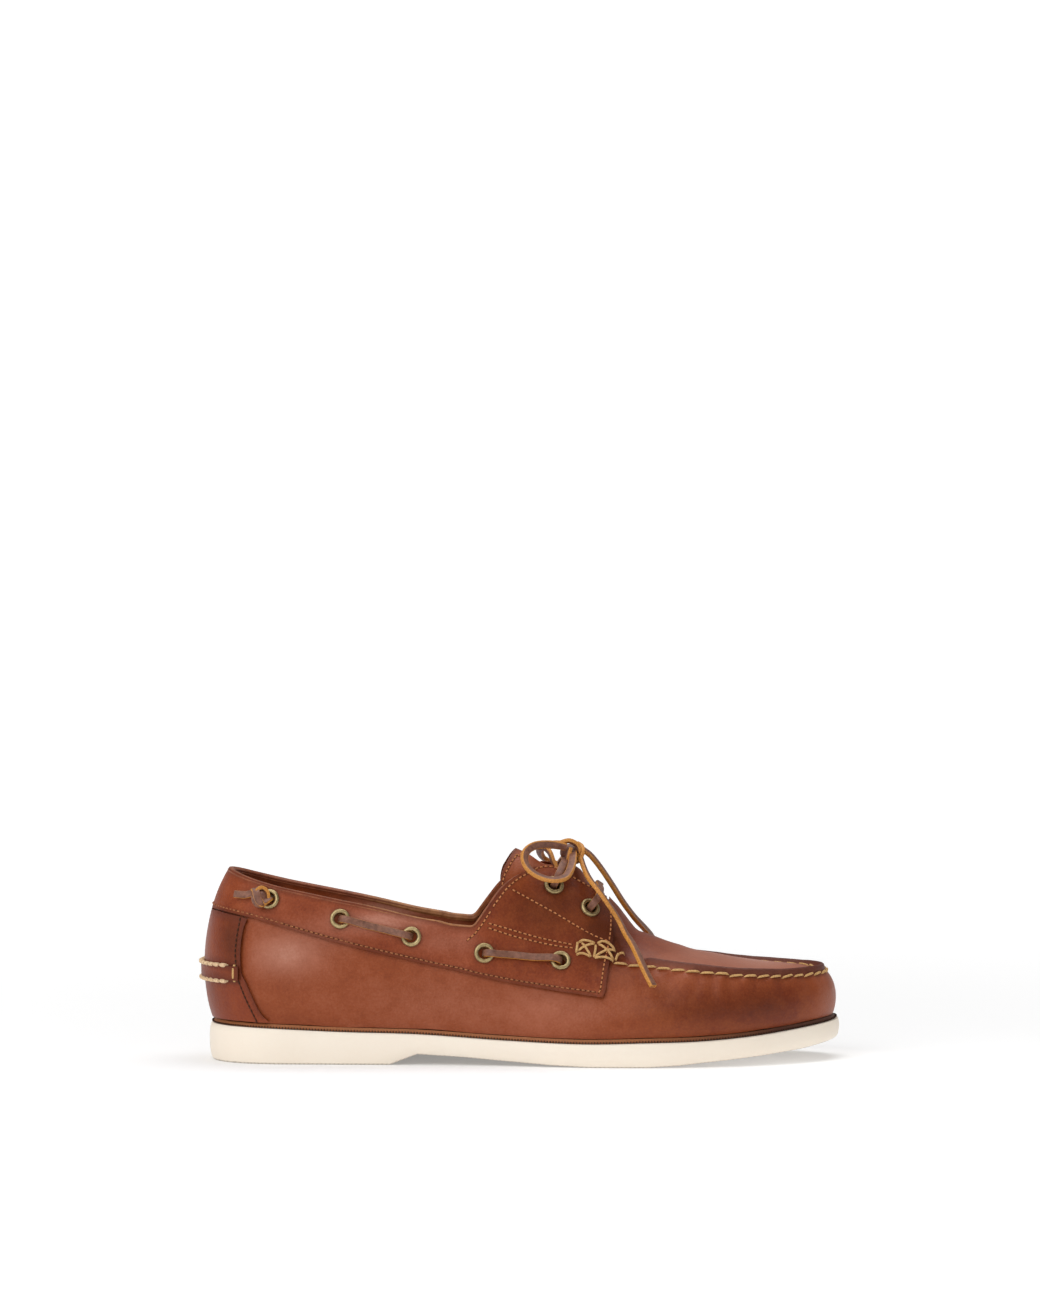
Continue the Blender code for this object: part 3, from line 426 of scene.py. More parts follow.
def half_width(medial, along):
    share = smooth(OUTLINE, 2 if medial else 1, along)
    width = (HEEL_WIDTH + (BALL_WIDTH - HEEL_WIDTH) * share) / 2
    if along < HEEL_ROUND:
        back = 1 - along / HEEL_ROUND
        width *= (1 - back**HEEL_POWER) ** (1 / HEEL_POWER)
    if along > 1 - TOE_ROUND:
        front = (along - 1 + TOE_ROUND) / TOE_ROUND
        width *= max(1 - front**TOE_POWER, 0.0) ** (1 / TOE_POWER)
    return width


def station(turn):
    """(share of the length, True on the medial side) at this turn round the outline."""
    turn %= 2
    medial = turn > 1
    return (1 - math.cos(math.pi * turn)) / 2, medial


def edge(turn):
    """The sole's edge in plan."""
    along, medial = station(turn)
    axis = TOE_LEAN * ease((along - LEAN_FROM) / (1 - LEAN_FROM))
    width = half_width(medial, along)
    return Vector((LENGTH * along, axis + (width if medial else -width)))


def plan(turn, inset):
    """A point this far inside the sole's edge, square to it."""
    nudge = 0.004
    ahead = edge(turn + nudge) - edge(turn - nudge)
    outward = Vector((ahead.y, -ahead.x)).normalized()
    return edge(turn) - outward * inset


def sole_top(x):
    along = x / LENGTH
    heel, forefoot, spring = (smooth(SOLE_TOP, column, along) for column in (1, 2, 3))
    return HEEL_STACK * heel + FOREFOOT_SOLE * forefoot + TOE_SPRING * spring


def sole_bottom(x):
    along = x / LENGTH
    return ARCH_RISE * straight(SOLE_BOTTOM, 1, along) + TOE_SPRING * straight(SOLE_BOTTOM, 2, along)


def even_turns(count):
    """Turns from heel to toe at even steps along the edge."""
    fine = [index / 600 for index in range(601)]
    run = [0.0]
    for low, high in zip(fine, fine[1:]):
        run.append(run[-1] + (edge(high) - edge(low)).length)
    turns, index = [0.0], 0
    for step in range(1, count):
        target = run[-1] * step / count
        while run[index + 1] < target:
            index += 1
        share = (target - run[index]) / (run[index + 1] - run[index])
        turns.append(fine[index] + share * (fine[index + 1] - fine[index]))
    return turns + [1.0]


TURNS = even_turns(STATIONS)
BREAKS = {math.acos(1 - 2 * along) / math.pi for along, _, _ in SOLE_BOTTOM[1:8]}
SOLE_TURNS = sorted(set(TURNS) | BREAKS)


def both_sides(turns):
    """The turns of the whole loop, heel, lateral side, toe and medial side."""
    return turns + [2 - turn for turn in reversed(turns[1:-1])]


def tube(bm, rings, ends="capped"):
    """Bridges rings of points. Its ends are capped, open or joined to each other."""
    rows = [[bm.verts.new(point) for point in ring] for ring in rings]
    for here, after in zip(rows, rows[1:] + (rows[:1] if ends == "joined" else [])):
        for index, corner in enumerate(here):
            last = (index + 1) % len(here)
            bm.faces.new((corner, here[last], after[last], after[index]))
    if ends == "capped":
        bm.faces.new(rows[0])
        bm.faces.new(rows[-1])
    return rows


def level_solid(name, rings):
    """A closed solid from level loops, capped by cross strips between the two sides."""
    bm = bmesh.new()
    rows = tube(bm, rings, "open")
    half = len(rings[0]) // 2
    for ring in (rows[0], rows[-1]):
        bm.faces.new((ring[0], ring[1], ring[-1]))
        for index in range(1, half - 1):
            bm.faces.new((ring[index], ring[index + 1], ring[-index - 1], ring[-index]))
        bm.faces.new((ring[half - 1], ring[half], ring[half + 1]))
    return finished(bm, name)


def grown(outline, distance):
    """The closed outline moved outward by a distance."""
    flat = [Vector((point[0], point[2])) for point in outline]
    area = sum(a.x * b.y - b.x * a.y for a, b in zip(flat, flat[1:] + flat[:1]))
    moved = []
    for index, here in enumerate(flat):
        ahead = (flat[(index + 1) % len(flat)] - flat[index - 1]).normalized()
        out = Vector((ahead.y, -ahead.x)) * (1 if area > 0 else -1)
        moved.append((here.x + out.x * distance, 0.0, here.y + out.y * distance))
    return moved


# The surface that upper, tongue and overlays share


def seam_height(along):
    return COLLAR_HEIGHT * smooth(SEAM, 1, along)


def seam_inset(along, medial):
    return SEAM_INSET * smooth(SEAM, 3 if medial else 2, along)


def feather_height(x):
    return sole_top(x) + RAND + 2 * CLEAR


def wall_point(turn, share):
    """A point of the side wall, 0 at the feather and 1 at the seam."""
    along, medial = station(turn)
    foot = feather_height(plan(turn, FEATHER_INSET).x)
    inset = seam_inset(along, medial)
    swell, low, lean, high = (smooth(WALL, column, along) for column in (1, 2, 3, 4))
    handles = ((FEATHER_INSET, 0.0), (-BULGE * swell, low), (inset * lean, high), (inset, 1.0))
    rest = 1 - share
    weights = (rest**3, 3 * rest**2 * share, 3 * rest * share**2, share**3)
    inward, up = (sum(weight * handle[part] for weight, handle in zip(weights, handles)) for part in (0, 1))
    x, y = plan(turn, inward)
    return Vector((x, y, foot + (seam_height(along) - foot) * up))


def crown_rise(along, across):
    """Height over the seam, where across is 0 on the crest and 1 on the seam."""
    return INSTEP_RISE * smooth(CROWN, 1, along) * (1 - across**2)


def crown_half(turn):
    return (wall_point(turn, 1).xy - wall_point(2 - turn, 1).xy).length / 2


def shoulder_point(turn, distance):
    """A point of the crown close inside the seam, square to the outline."""
    along, medial = station(turn)
    near = turn if turn <= 1 else 2 - turn
    half = crown_half(near)
    across = max(1 - distance / half, 0.0) if half > distance else 0.0
    x, y = plan(turn, seam_inset(along, medial) + distance)
    return Vector((x, y, seam_height(along) + crown_rise(along, across)))


# Outlines in side view


def throat_outline():
    """The opening above the collar and between the wings, in side view."""
    rim = flow(side_view(WING_REAR[::-1]), 3) + flow(side_view(LACE_EDGE[::-1]), 3)
    front = BAND_FRONT[-1][0] * LENGTH
    return rim + [(front, 0.0, ROOF), (rim[0].x, 0.0, ROOF)]


def band_outline():
    """Collar band and both wings, in side view."""
    low = flow(side_view(BAND_LOW), 3)
    front = flow(side_view(BAND_FRONT), 2)
    wing = flow(side_view(LACE_EDGE), 3) + flow(side_view(WING_REAR), 3)
    return low + front + wing + [(wing[-1].x, 0.0, ROOF), (BEHIND, 0.0, ROOF), (BEHIND, 0.0, low[0].z)]


def counter_outline():
    """The heel counter in side view, down to the feather."""
    edge_line = flow(side_view(COUNTER_EDGE), 3)
    top = flow(side_view(BAND_LOW[:2]), 3)
    roof = [(point[0], 0.0, point[2] - 2 * CLEAR) for point in top if point[0] < edge_line[0].x]
    foot = [edge_line[-1].x * share for share in (1.0, 0.66, 0.33, 0.0)]
    sill = [(x, 0.0, feather_height(x) + CLEAR) for x in foot + [BEHIND]]
    return edge_line + sill + [(BEHIND, 0.0, roof[0][2])] + roof


# Meshes, cuts and placing


def facing(point, normal):
    """Places a turned piece with its axis on the normal."""
    return Matrix.Translation(point) @ normal.to_track_quat("Z", "Y").to_matrix().to_4x4()


def finished(bm, name):
    """The mesh as an object in the shoe's own frame, facing outward."""
    bmesh.ops.recalc_face_normals(bm, faces=bm.faces)
    return place(bm, name)


def place(bm, name):
    made = bpy.data.objects.new(name, bpy.data.meshes.new(name))
    bm.to_mesh(made.data)
    bm.free()
    bpy.context.scene.collection.objects.link(made)
    return made


def prism(outline):
    """A cutter: an outline of the side view, run across the whole width."""
    bm = bmesh.new()
    tube(bm, [[(point[0], y, point[2]) for point in outline] for y in (-BALL_WIDTH, BALL_WIDTH)])
    return finished(bm, "cutter")


def flattened(made):
    """The object as a plain mesh, with its modifiers taken in and removed."""
    bpy.context.view_layer.update()
    graph = bpy.context.evaluated_depsgraph_get()
    mesh = bpy.data.meshes.new_from_object(made.evaluated_get(graph), depsgraph=graph)
    old = made.data
    made.modifiers.clear()
    made.data = mesh
    mesh.name = made.name
    bpy.data.meshes.remove(old)
    return made


def cut(made, cutters, operation="DIFFERENCE"):
    """Takes each cutter out of the object, keeps what lies in it, or joins it, and drops the cutter."""
    for cutter in cutters:
        modifier = made.modifiers.new("cut", "BOOLEAN")
        modifier.operation = operation
        modifier.object = cutter
    flattened(made)
    for cutter in cutters:
        bpy.data.objects.remove(cutter)
    return made


def settle(made, slot, looks, *nodes, sharp=38):
    """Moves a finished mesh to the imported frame, gives it its finishes and lets it ride for its solids."""
    made.data.transform(Matrix.Translation((-HEEL_SEAT, 0, 0)))
    made.data.materials.clear()
    for look in looks.split():
        made.data.materials.append(finish(look))
    made.data.shade_smooth()
    made.data.set_sharp_from_angle(angle=math.radians(sharp))
    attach(made, "root")
    if nodes:
        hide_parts(*nodes)
    return made


def note(mesh, name, values):
    """Stores a number for each point, for the materials."""
    attribute = mesh.attributes.new(name, "FLOAT", "POINT")
    attribute.data.foreach_set("value", np.asarray(values, np.float32))


def points_of(mesh):
    points = np.empty(len(mesh.vertices) * 3, np.float32)
    mesh.vertices.foreach_get("co", points)
    return points.reshape(-1, 3).astype(float)


# Leather surface with its creases


def relief(points, normals):
    """How far creases and puckers lift each point along its normal."""
    depth = bpy.context.scene.shoe_leather.crease_depth
    lift = np.zeros(len(points))
    flat = points[:, [0, 2]] * 1000
    for x0, z0, x1, z1, width, height, lateral, medial in CREASES:
        start = np.array((x0, z0), float)
        way = np.array((x1, z1), float) - start
        share = np.clip(((flat - start) @ way) / (way @ way), 0, 1)
        gap = np.linalg.norm(flat - start - share[:, None] * way, axis=1)
        side = np.where(points[:, 1] < 0, lateral, medial)
        swell = np.exp(-((gap / width) ** 2)) * (1 - 0.75 * share)
        lift += height * 1.35e-3 * swell * side * np.clip(np.abs(normals[:, 1]) * 1.6, 0, 1)
    wave = np.sin(flat[:, 0] * 0.21 + points[:, 1] * 60) * np.sin(flat[:, 1] * 0.17 + 1.3)
    lift += wave * 0.00012
    return lift * depth


def make_surface():
    """The whole form as one mesh: margin, wall, shoulder and crown, with its creases."""
    bm = bmesh.new()
    loop = both_sides(TURNS)
    count = len(loop)
    first = next(i for i, turn in enumerate(TURNS) if station(turn)[0] >= CROWN_FROM)
    columns = []
    for index, turn in enumerate(loop):
        x, y = plan(turn, FEATHER_INSET + MARGIN)
        column = [Vector((x, y, feather_height(x)))]
        column += [wall_point(turn, step / WALL_STEPS) for step in range(WALL_STEPS + 1)]
        if first <= index <= count - first:
            column += [shoulder_point(turn, distance) for distance, _ in RIDGE_ROWS]
        columns.append([bm.verts.new(point) for point in column])
    for index, here in enumerate(columns):
        after = columns[(index + 1) % count]
        for row in range(min(len(here), len(after)) - 1):
            bm.faces.new((here[row], after[row], after[row + 1], here[row + 1]))
    lines = []
    for index in range(first, STATIONS):
        near, far = columns[index][-1], columns[count - index][-1]
        along = station(TURNS[index])[0]
        inner = 1 - RIDGE_ROWS[-1][0] / max(crown_half(TURNS[index]), 0.0051)
        line = [near]
        for step in range(1, CROWN_STEPS):
            share = step / CROWN_STEPS
            flat = near.co.lerp(far.co, share)
            flat.z = seam_height(along) + crown_rise(along, abs(2 * share - 1) * inner)
            line.append(bm.verts.new(flat))
        lines.append(line + [far])
    for here, after in zip(lines, lines[1:]):
        for step in range(CROWN_STEPS):
            bm.faces.new((here[step], after[step], after[step + 1], here[step + 1]))
    for step in range(CROWN_STEPS):
        bm.faces.new((lines[-1][step], columns[STATIONS][-1], lines[-1][step + 1]))
    bmesh.ops.triangulate(bm, faces=bm.faces)
    bm.normal_update()
    ridge = ridge_lift(loop)
    raised = bm.verts.layers.float_vector.new("raised")
    points = np.array([vert.co for vert in bm.verts])
    normals = np.array([vert.normal for vert in bm.verts])
    for vert, lift in zip(bm.verts, relief(points, normals)):
        vert[raised] = ridge.get(key_of(vert.co), (0.0, 0.0, 0.0))
        vert.co += vert.normal * lift
        tuck = ease((TUCK_FRONT - vert.co.x) / 0.010) * ease((vert.co.x - TUCK_BACK) / 0.006)
        vert.co.z -= PLUG_TUCK * tuck * math.exp(-((vert.co.y / TUCK_SPREAD) ** 4))
    bm.normal_update()
    bm.verts.index_update()
    return bm


def key_of(point):
    return tuple(round(value, 6) for value in point)


def ridge_lift(loop):
    """How far the raised seam lifts each point of the surface."""
    lifts = {}
    for turn in loop:
        fade = ease((station(turn)[0] - RIDGE_FROM) / (RIDGE_FULL - RIDGE_FROM))
        out = (plan(turn, 0) - plan(turn, 1)) * RIDGE_LEAN
        for distance, share in RIDGE_ROWS if fade > 0 else ():
            way = Vector((out.x, out.y, 1.0)).normalized()
            lifts[key_of(shoulder_point(turn, distance))] = way * RIDGE * share * fade
    return lifts


class Form:
    """The creased surface, made once and shared by every leather piece."""

    surface = None
    tree = None

    @classmethod
    def get(cls):
        if cls.surface is None:
            cls.surface = make_surface()
            cls.tree = BVHTree.FromBMesh(cls.surface)
        return cls.surface

    @classmethod
    def nearest(cls, point):
        cls.get()
        return cls.tree.find_nearest(point)[:2]

    @classmethod
    def meet(cls, start, way):
        cls.get()
        return cls.tree.ray_cast(start, way)[:2]


def skin(name, outer, inner, keep, ridged=False):
    """A closed wall between two lifts off the surface, on the faces that keep() passes."""
    surface = Form.get()
    surface.verts.ensure_lookup_table()
    raised = surface.verts.layers.float_vector["raised"]
    bm = bmesh.new()
    kept = [face for face in surface.faces if keep(face.calc_center_median())]
    outside, inside = {}, {}
    for index in sorted({vert.index for face in kept for vert in face.verts}):
        vert = surface.verts[index]
        way = vert.normal * vert.calc_shell_factor()
        lift = vert[raised] if ridged else Vector((0.0, 0.0, 0.0))
        outside[index] = bm.verts.new(vert.co + way * outer + lift)
        inside[index] = bm.verts.new(vert.co + way * inner)
    sides = set()
    for face in kept:
        loop = [vert.index for vert in face.verts]
        bm.faces.new([outside[index] for index in loop])
        bm.faces.new([inside[index] for index in reversed(loop)])
        sides.update(zip(loop, loop[1:] + loop[:1]))
    for a, b in sides:
        if (b, a) not in sides:
            bm.faces.new((outside[b], outside[a], inside[a], inside[b]))
    return finished(bm, name)


def mark_sides(mesh):
    """Tells outer face, lining and cut edge apart after a cut: materials 0, 1 and 2."""
    for face in mesh.polygons:
        facing_out = face.normal.dot(Form.nearest(face.center)[1])
        low = face.center.z < feather_height(face.center.x) + 0.0025
        face.material_index = 0 if facing_out > 0.5 or low else 1 if facing_out < -0.5 else 2


def mark_leather(mesh, ridged=False):
    """Marks a leather piece's sides, and stores at each point its broad lighter and darker patches of own colour and
    painted light and shade, warmth, cut edge and ridge.
    """
    mark_sides(mesh)
    points = points_of(mesh)
    flat = points[:, [0, 2]] * 1000
    tone, warmth, near, ridge = (np.zeros(len(points)) for _ in range(4))
    edge_points = sorted({v for face in mesh.polygons if face.material_index == 2 for v in face.vertices})
    if edge_points:
        tree = KDTree(len(edge_points))
        for order, index in enumerate(edge_points):
            tree.insert(points[index], order)
        tree.balance()
        near = np.exp(-((np.array([tree.find(point)[2] for point in points]) / 0.0016) ** 2))
    # Each patch lightens or darkens: the leather's own colour together with painted highlights and painted shade.
    for x, z, along, up, lighter, redder in PATCHES:
        swell = np.exp(-(((flat[:, 0] - x) / along) ** 2) - (((flat[:, 1] - z) / up) ** 2))
        tone += lighter * swell
        warmth += redder * swell
    for index, point in enumerate(points if ridged else ()):
        if point[0] / LENGTH > RIDGE_FROM:
            ridge[index] = min(max((point[2] - Form.nearest(Vector(point))[0].z) / RIDGE, 0), 1)
    for name, values in (("edge", near), ("tone", tone), ("warm", warmth), ("ridge", ridge)):
        note(mesh, name, values)


def eyelet_spot(along, up, medial):
    """(point, outward direction) where the side view's point meets the surface."""
    span = 0.0035
    x, z = along * LENGTH, up * COLLAR_HEIGHT
    way = Vector((0, -1 if medial else 1, 0))

    def meet(dx, dz):
        return Form.meet(Vector((x + dx, -way.y * BALL_WIDTH, z + dz)), way)[0]

    normal = (meet(span, 0) - meet(-span, 0)).cross(meet(0, span) - meet(0, -span)).normalized()
    return meet(0, 0), -normal if medial else normal


def eyelet_spots():
    return {side: [eyelet_spot(*row, side == "medial") for row in EYELETS] for side in ("lateral", "medial")}


def eyelet_cutter():
    bm = bmesh.new()
    radius = EYELET_HOLE / 2 + EYELET_WALL + CLEAR
    size = {"cap_ends": True, "segments": ROUND_STEPS, "radius1": radius, "radius2": radius, "depth": SPARE}
    for spots in eyelet_spots().values():
        for spot in spots:
            bmesh.ops.create_cone(bm, matrix=facing(*spot), **size)
    return finished(bm, "cutter")


# Lines on the surface: lists of (point, outward direction)


def seen(rows, medial):
    """A line drawn in the tilted side view, laid on the surface."""
    line = []
    side = 1 if medial else -1
    way = Vector((0, -side * math.cos(SIGHT), -math.sin(SIGHT)))
    for x, _, s in flow([(x, 0, s) for x, s in rows], 4):
        z = (s / 1000 + FAR_OFF * math.sin(SIGHT)) / math.cos(SIGHT)
        line.append(Form.meet(Vector((x / 1000, side * FAR_OFF, z)), way))
    return [item for item in line if item[0]]


def side_line(rows, medial, steps=3):
    """A line of the side view's table, laid on the surface."""
    line = []
    side = 1 if medial else -1
    for x, _, z in flow(side_view(rows), steps):
        point, normal = Form.meet(Vector((x, side * BALL_WIDTH, z)), Vector((0, -side, 0)))
        if point and point.y * side > 0.002:
            line.append((point, normal))
    return line


def heel_line(z, reach):
    """A level line round the back of the heel, from the lateral to the medial side."""
    line = []
    for step in range(25):
        angle = math.radians(-90 + 180 * step / 24)
        aim = Vector((reach, 0, z))
        start = aim + Vector((-math.cos(angle), math.sin(angle), 0)) * 0.12
        point, normal = Form.meet(start, (aim - start).normalized())
        if point and point.x <= reach:
            line.append((point, normal))
    return line


def with_run(line):
    """(point, outward direction, run) at each point of a line."""
    points = [point for point, _ in line]
    return [(point, normal, run_at(points, index)) for index, (point, normal) in enumerate(line)]


def moved_in(line, distance):
    """The line moved across the surface, to the left of its run seen from outside."""
    return [Form.nearest(point + normal.cross(run).normalized() * distance) for point, normal, run in with_run(line)]


def spaced(line, pitch):
    """(place, run, outward direction) at even steps along a line."""
    runs = [0.0]
    for (here, _), (after, _) in zip(line, line[1:]):
        runs.append(runs[-1] + (after - here).length)
    count = max(int(round(runs[-1] / pitch)), 1)
    out, index = [], 0
    for step in range(count):
        target = runs[-1] * (step + 0.5) / count
        while index < len(line) - 2 and runs[index + 1] < target:
            index += 1
        share = (target - runs[index]) / max(runs[index + 1] - runs[index], 1e-9)
        (here, first), (after, second) = line[index], line[index + 1]
        out.append((here.lerp(after, share), (after - here).normalized(), first.lerp(second, share).normalized()))
    return out


# Shader maths


class Number:
    """A socket of a shader tree. Python's signs add its Math nodes."""

    def __init__(self, finish, socket):
        self.finish = finish
        self.socket = socket

    def maths(self, operation, *values):
        return self.finish.node("Math", dict(enumerate(values)), operation=operation)

    def held(self, low=0.0, high=1.0):
        return self.maths("MINIMUM", self.maths("MAXIMUM", self, low), high)

    def wave(self):
        return self.maths("SINE", self)


SIGNS = {"add": "ADD", "sub": "SUBTRACT", "mul": "MULTIPLY", "truediv": "DIVIDE", "pow": "POWER"}
for sign, operation in SIGNS.items():
    setattr(Number, f"__{sign}__", lambda self, other, name=operation: self.maths(name, self, other))
    setattr(Number, f"__r{sign}__", lambda self, other, name=operation: self.maths(name, other, self))


class Finish:
    """A material under construction."""

    def __init__(self, name, rough, metal=0.0):
        self.material = bpy.data.materials.new(name)
        self.material.use_nodes = True
        self.tree = self.material.node_tree
        self.shader = self.tree.nodes["Principled BSDF"]
        self.place = self.node("TexCoord", {}, "Object")
        self.set(Roughness=rough, Metallic=metal)

    def node(self, kind, values, output=0, **settings):
        """A new node's output, after its settings and then the values or links of its sockets."""
        node = self.tree.nodes.new("ShaderNode" + kind)
        for key, value in settings.items():
            setattr(node, key, value)
        for key, value in values.items():
            self.feed(value, node.inputs[key])
        return Number(self, node.outputs[output])

    def feed(self, value, socket):
        if isinstance(value, Number):
            self.tree.links.new(value.socket, socket)
        else:
            socket.default_value = (*value, 1.0) if socket.type == "RGBA" else value

    def noise(self, scale, detail=2.0, rough=0.5):
        values = {"Vector": self.place, "Scale": scale, "Detail": detail, "Roughness": rough}
        return self.node("TexNoise", values, "Fac")

    def cells(self, scale):
        return self.node("TexVoronoi", {"Vector": self.place, "Scale": scale}, "Distance", feature="SMOOTH_F1")

    def stored(self, name):
        return self.node("Attribute", {}, "Fac", attribute_name=name)

    def axis(self, name):
        return self.node("SeparateXYZ", {0: self.place}, name)

    def ramp(self, factor, *stops):
        made = self.node("ValToRGB", {0: factor})
        elements = made.socket.node.color_ramp.elements
        while len(elements) < len(stops):
            elements.new(0.5)
        for element, (position, colour) in zip(elements, stops):
            element.position = position
            element.color = (*colour, 1.0)
        return made

    def two(self, factor, dark, light, low=0.3, high=0.7):
        return self.ramp(factor, (low, dark), (high, light))

    def mix(self, factor, first, second):
        return self.node("Mix", {0: factor, 6: first, 7: second}, 2, data_type="RGBA")

    def bump(self, height, distance, strength):
        return self.node("Bump", {"Height": height, "Distance": distance, "Strength": strength})

    def set(self, **values):
        """Feeds the shader's sockets, and gives the material back."""
        for key, value in values.items():
            self.feed(value, self.shader.inputs[key.replace("_", " ")])
        return self.material


FINISHES = {}


def finish(name):
    """The material of this name, made the first time it is asked for."""
    if name not in FINISHES:
        maker, *values = MAKERS[name]
        FINISHES[name] = maker(name, *values)
    return FINISHES[name]


def leather(name, rough, depth=1.0, nap=0.0, deep=0.0):
    """Oiled pull-up leather: mottled, lighter and darker in broad patches of its own colour and of painted
    highlights, pink sheen and shade, and darker towards its cut edges and along the raised toe seam.
    """
    made = Finish(name, rough)
    tone, warm, edge, ridge = (made.stored(key) for key in ("tone", "warm", "edge", "ridge"))
    broad, mottle, speck = made.noise(26, 3), made.noise(130, 5, 0.65), made.noise(900, 3, 0.6)
    factor = 0.5 * depth + (broad - 0.5) * 0.30 + (mottle - 0.5) * (0.34 + 0.3 * nap)
    # The patches shift the colour: own colour together with painted highlights and painted shade.
    factor = (factor + (speck - 0.5) * (0.26 + 0.25 * nap) + tone * 0.46).held()
    colour = made.ramp(
        factor,
        (0.0, (0.065, 0.008, 0.002)),
        (0.25, (0.150, 0.022, 0.005)),
        (0.5, (0.262, 0.056, 0.015)),
        (0.75, (0.364, 0.104, 0.050)),
        (1.0, (0.500, 0.220, 0.150)),
    )
    shades = (
        (deep, (0.090, 0.010, 0.002), (0.300, 0.044, 0.012)),
        ((warm + (mottle - 0.5) * 0.5).held(0, 0.6), (0.12, 0.024, 0.003), (0.38, 0.105, 0.020)),
        # Painted sheen: where a patch is less red the colour turns to a pale pink haze of highlight.
        ((0 - warm).held(0, 0.6), (0.16, 0.035, 0.018), (0.50, 0.235, 0.165)),
    )
    for share, dark, light in shades:
        colour = made.mix(share, colour, made.mix(factor, dark, light))
    # Darker towards the cut edges and along the raised toe seam.
    for share, darkened in ((edge * 0.55, (0.060, 0.013, 0.006)), (ridge**0.7 * 0.75, (0.075, 0.015, 0.009))):
        colour = made.mix(share.held(), colour, darkened)
    height = made.cells(1150) * 0.5 + made.noise(2600) * 0.25 + made.noise(340, 4, 0.55) * 0.8
    normal = made.bump(height, 0.00026 + 0.0002 * nap, 0.75)
    roughness = (rough + (mottle - 0.5) * 0.22 + (speck - 0.5) * 0.12 - tone * 0.05 + edge * 0.08).held(0.2, 0.95)
    return made.set(Base_Color=colour, Roughness=roughness, Normal=normal, Specular_IOR_Level=0.24 - 0.10 * nap)


def rim_finish(name):
    """Rolled edge: leather brown, worn to pale suede where the collar dips."""
    made = Finish(name, 0.5)
    mottle = made.noise(300, 4, 0.65)
    brown = made.two(mottle, (0.150, 0.034, 0.010), (0.300, 0.085, 0.030))
    suede = made.two(mottle, (0.250, 0.090, 0.026), (0.480, 0.220, 0.080))
    colour = made.mix((1.4 - ((made.axis("X") - 0.055) * 38) ** 2).held() * 0.8, brown, suede)
    return made.set(Base_Color=colour, Normal=made.bump(mottle, 0.0002, 0.4), Specular_IOR_Level=0.3)


def lining_finish(name):
    """Suede flesh side of the leather, as the inside shows it."""
    made = Finish(name, 0.85)
    mottle = made.noise(300, 5, 0.7)
    share = (mottle * 0.6 + made.noise(40) * 0.4).held()
    colour = made.two(share, (0.100, 0.020, 0.005), (0.215, 0.055, 0.013), 0.25, 0.75)
    normal = made.bump(made.noise(2200, 4, 0.7), 0.0003, 0.5)
    roughness = (0.78 + mottle * 0.15).held()
    return made.set(Base_Color=colour, Roughness=roughness, Normal=normal, Specular_IOR_Level=0.2)


def sock_finish(name):
    """Insole leather: tan, with a faint pebble grain and a polish that varies in broad patches."""
    made = Finish(name, 0.55)
    broad = made.noise(30, 3)
    colour = made.two(broad, (0.300, 0.150, 0.072), (0.430, 0.240, 0.125))
    normal = made.bump(made.cells(700), 0.0003, 0.5)
    return made.set(Base_Color=colour, Roughness=(0.45 + broad * 0.2).held(), Normal=normal)


def rand_finish(name):
    """The thin edge under the upper, with painted shade: darker towards the toe, where it lies in the shadow of the
    gap under the leather.
    """
    made = Finish(name, 0.6)
    fibres = made.noise(1400, 4, 0.6)
    pale = made.two(fibres, (0.270, 0.080, 0.020), (0.410, 0.145, 0.042))
    # Painted shade: the rand turns dark towards the toe, standing in for the shadowed gap.
    colour = made.mix(((made.axis("X") - 0.150) * 14).held(), pale, (0.090, 0.027, 0.010))
    return made.set(Base_Color=colour, Normal=made.bump(fibres, 0.0002, 0.5))


def rubber_finish(name):
    """Cream rubber, faintly marbled, with wavy slits cut in its tread, painted dark in the slits and with painted
    shade over the underside.
    """
    made = Finish(name, 0.58)
    under = made.stored("under")
    dust = made.noise(700, 3, 0.6)
    slit = ((made.axis("X") * 1570 + (made.axis("Y") * 520).wave() * 1.8).wave() ** 8) * under
    share = (made.noise(18, 3) * 0.7 + dust * 0.3).held()
    colour = made.two(share, (0.930, 0.815, 0.680), (0.950, 0.860, 0.735))
    # Painted shade in the slits.
    colour = made.mix((slit * 0.6).held(), colour, (0.30, 0.25, 0.20))
    # Painted shade: the whole underside is greyed.
    colour = made.mix(under * 0.45, colour, (0.34, 0.31, 0.28))
    normal = made.bump(dust * 0.4 - slit * 6, 0.0002, 0.5)
    return made.set(Base_Color=colour, Roughness=(0.52 + (dust - 0.5) * 0.2).held(), Normal=normal)


def brass_finish(name):
    """Antique brass: worn bright and dull in random patches."""
    made = Finish(name, 0.34, 1.0)
    rub = made.noise(700, 4, 0.6)
    colour = made.two((rub * 0.6 + made.noise(240, 3) * 0.4).held(), (0.230, 0.165, 0.075), (0.560, 0.440, 0.230))
    return made.set(Base_Color=colour, Roughness=(0.32 + rub * 0.26).held(), Normal=made.bump(rub, 0.0001, 0.3))


def rawhide_finish(name):
    """Rawhide lace: mauve-brown face, golden cut sides."""
    made = Finish(name, 0.5)
    mottle, fibres = made.noise(420, 4, 0.65), made.noise(1600, 3, 0.6)
    face = made.two(mottle, (0.105, 0.036, 0.019), (0.270, 0.112, 0.066), 0.3, 0.72)
    flank = made.two(fibres, (0.360, 0.125, 0.014), (0.680, 0.300, 0.050))
    normal = made.bump(fibres * 0.6 + mottle * 0.6, 0.00018, 0.5)
    colour = made.mix(made.stored("side"), face, flank)
    return made.set(Base_Color=colour, Roughness=(0.42 + mottle * 0.25).held(), Normal=normal)


def fibre_finish(name, dark, light, rough=0.62, scale=1500, detail=3, fine=0.6, specular=0.12):
    """Thread, or any other fibres between two colours."""
    made = Finish(name, rough)
    twist = made.noise(scale, detail, fine)
    normal = made.bump(twist, 0.0002, 0.6)
    return made.set(Base_Color=made.two(twist, dark, light), Normal=normal, Specular_IOR_Level=specular)


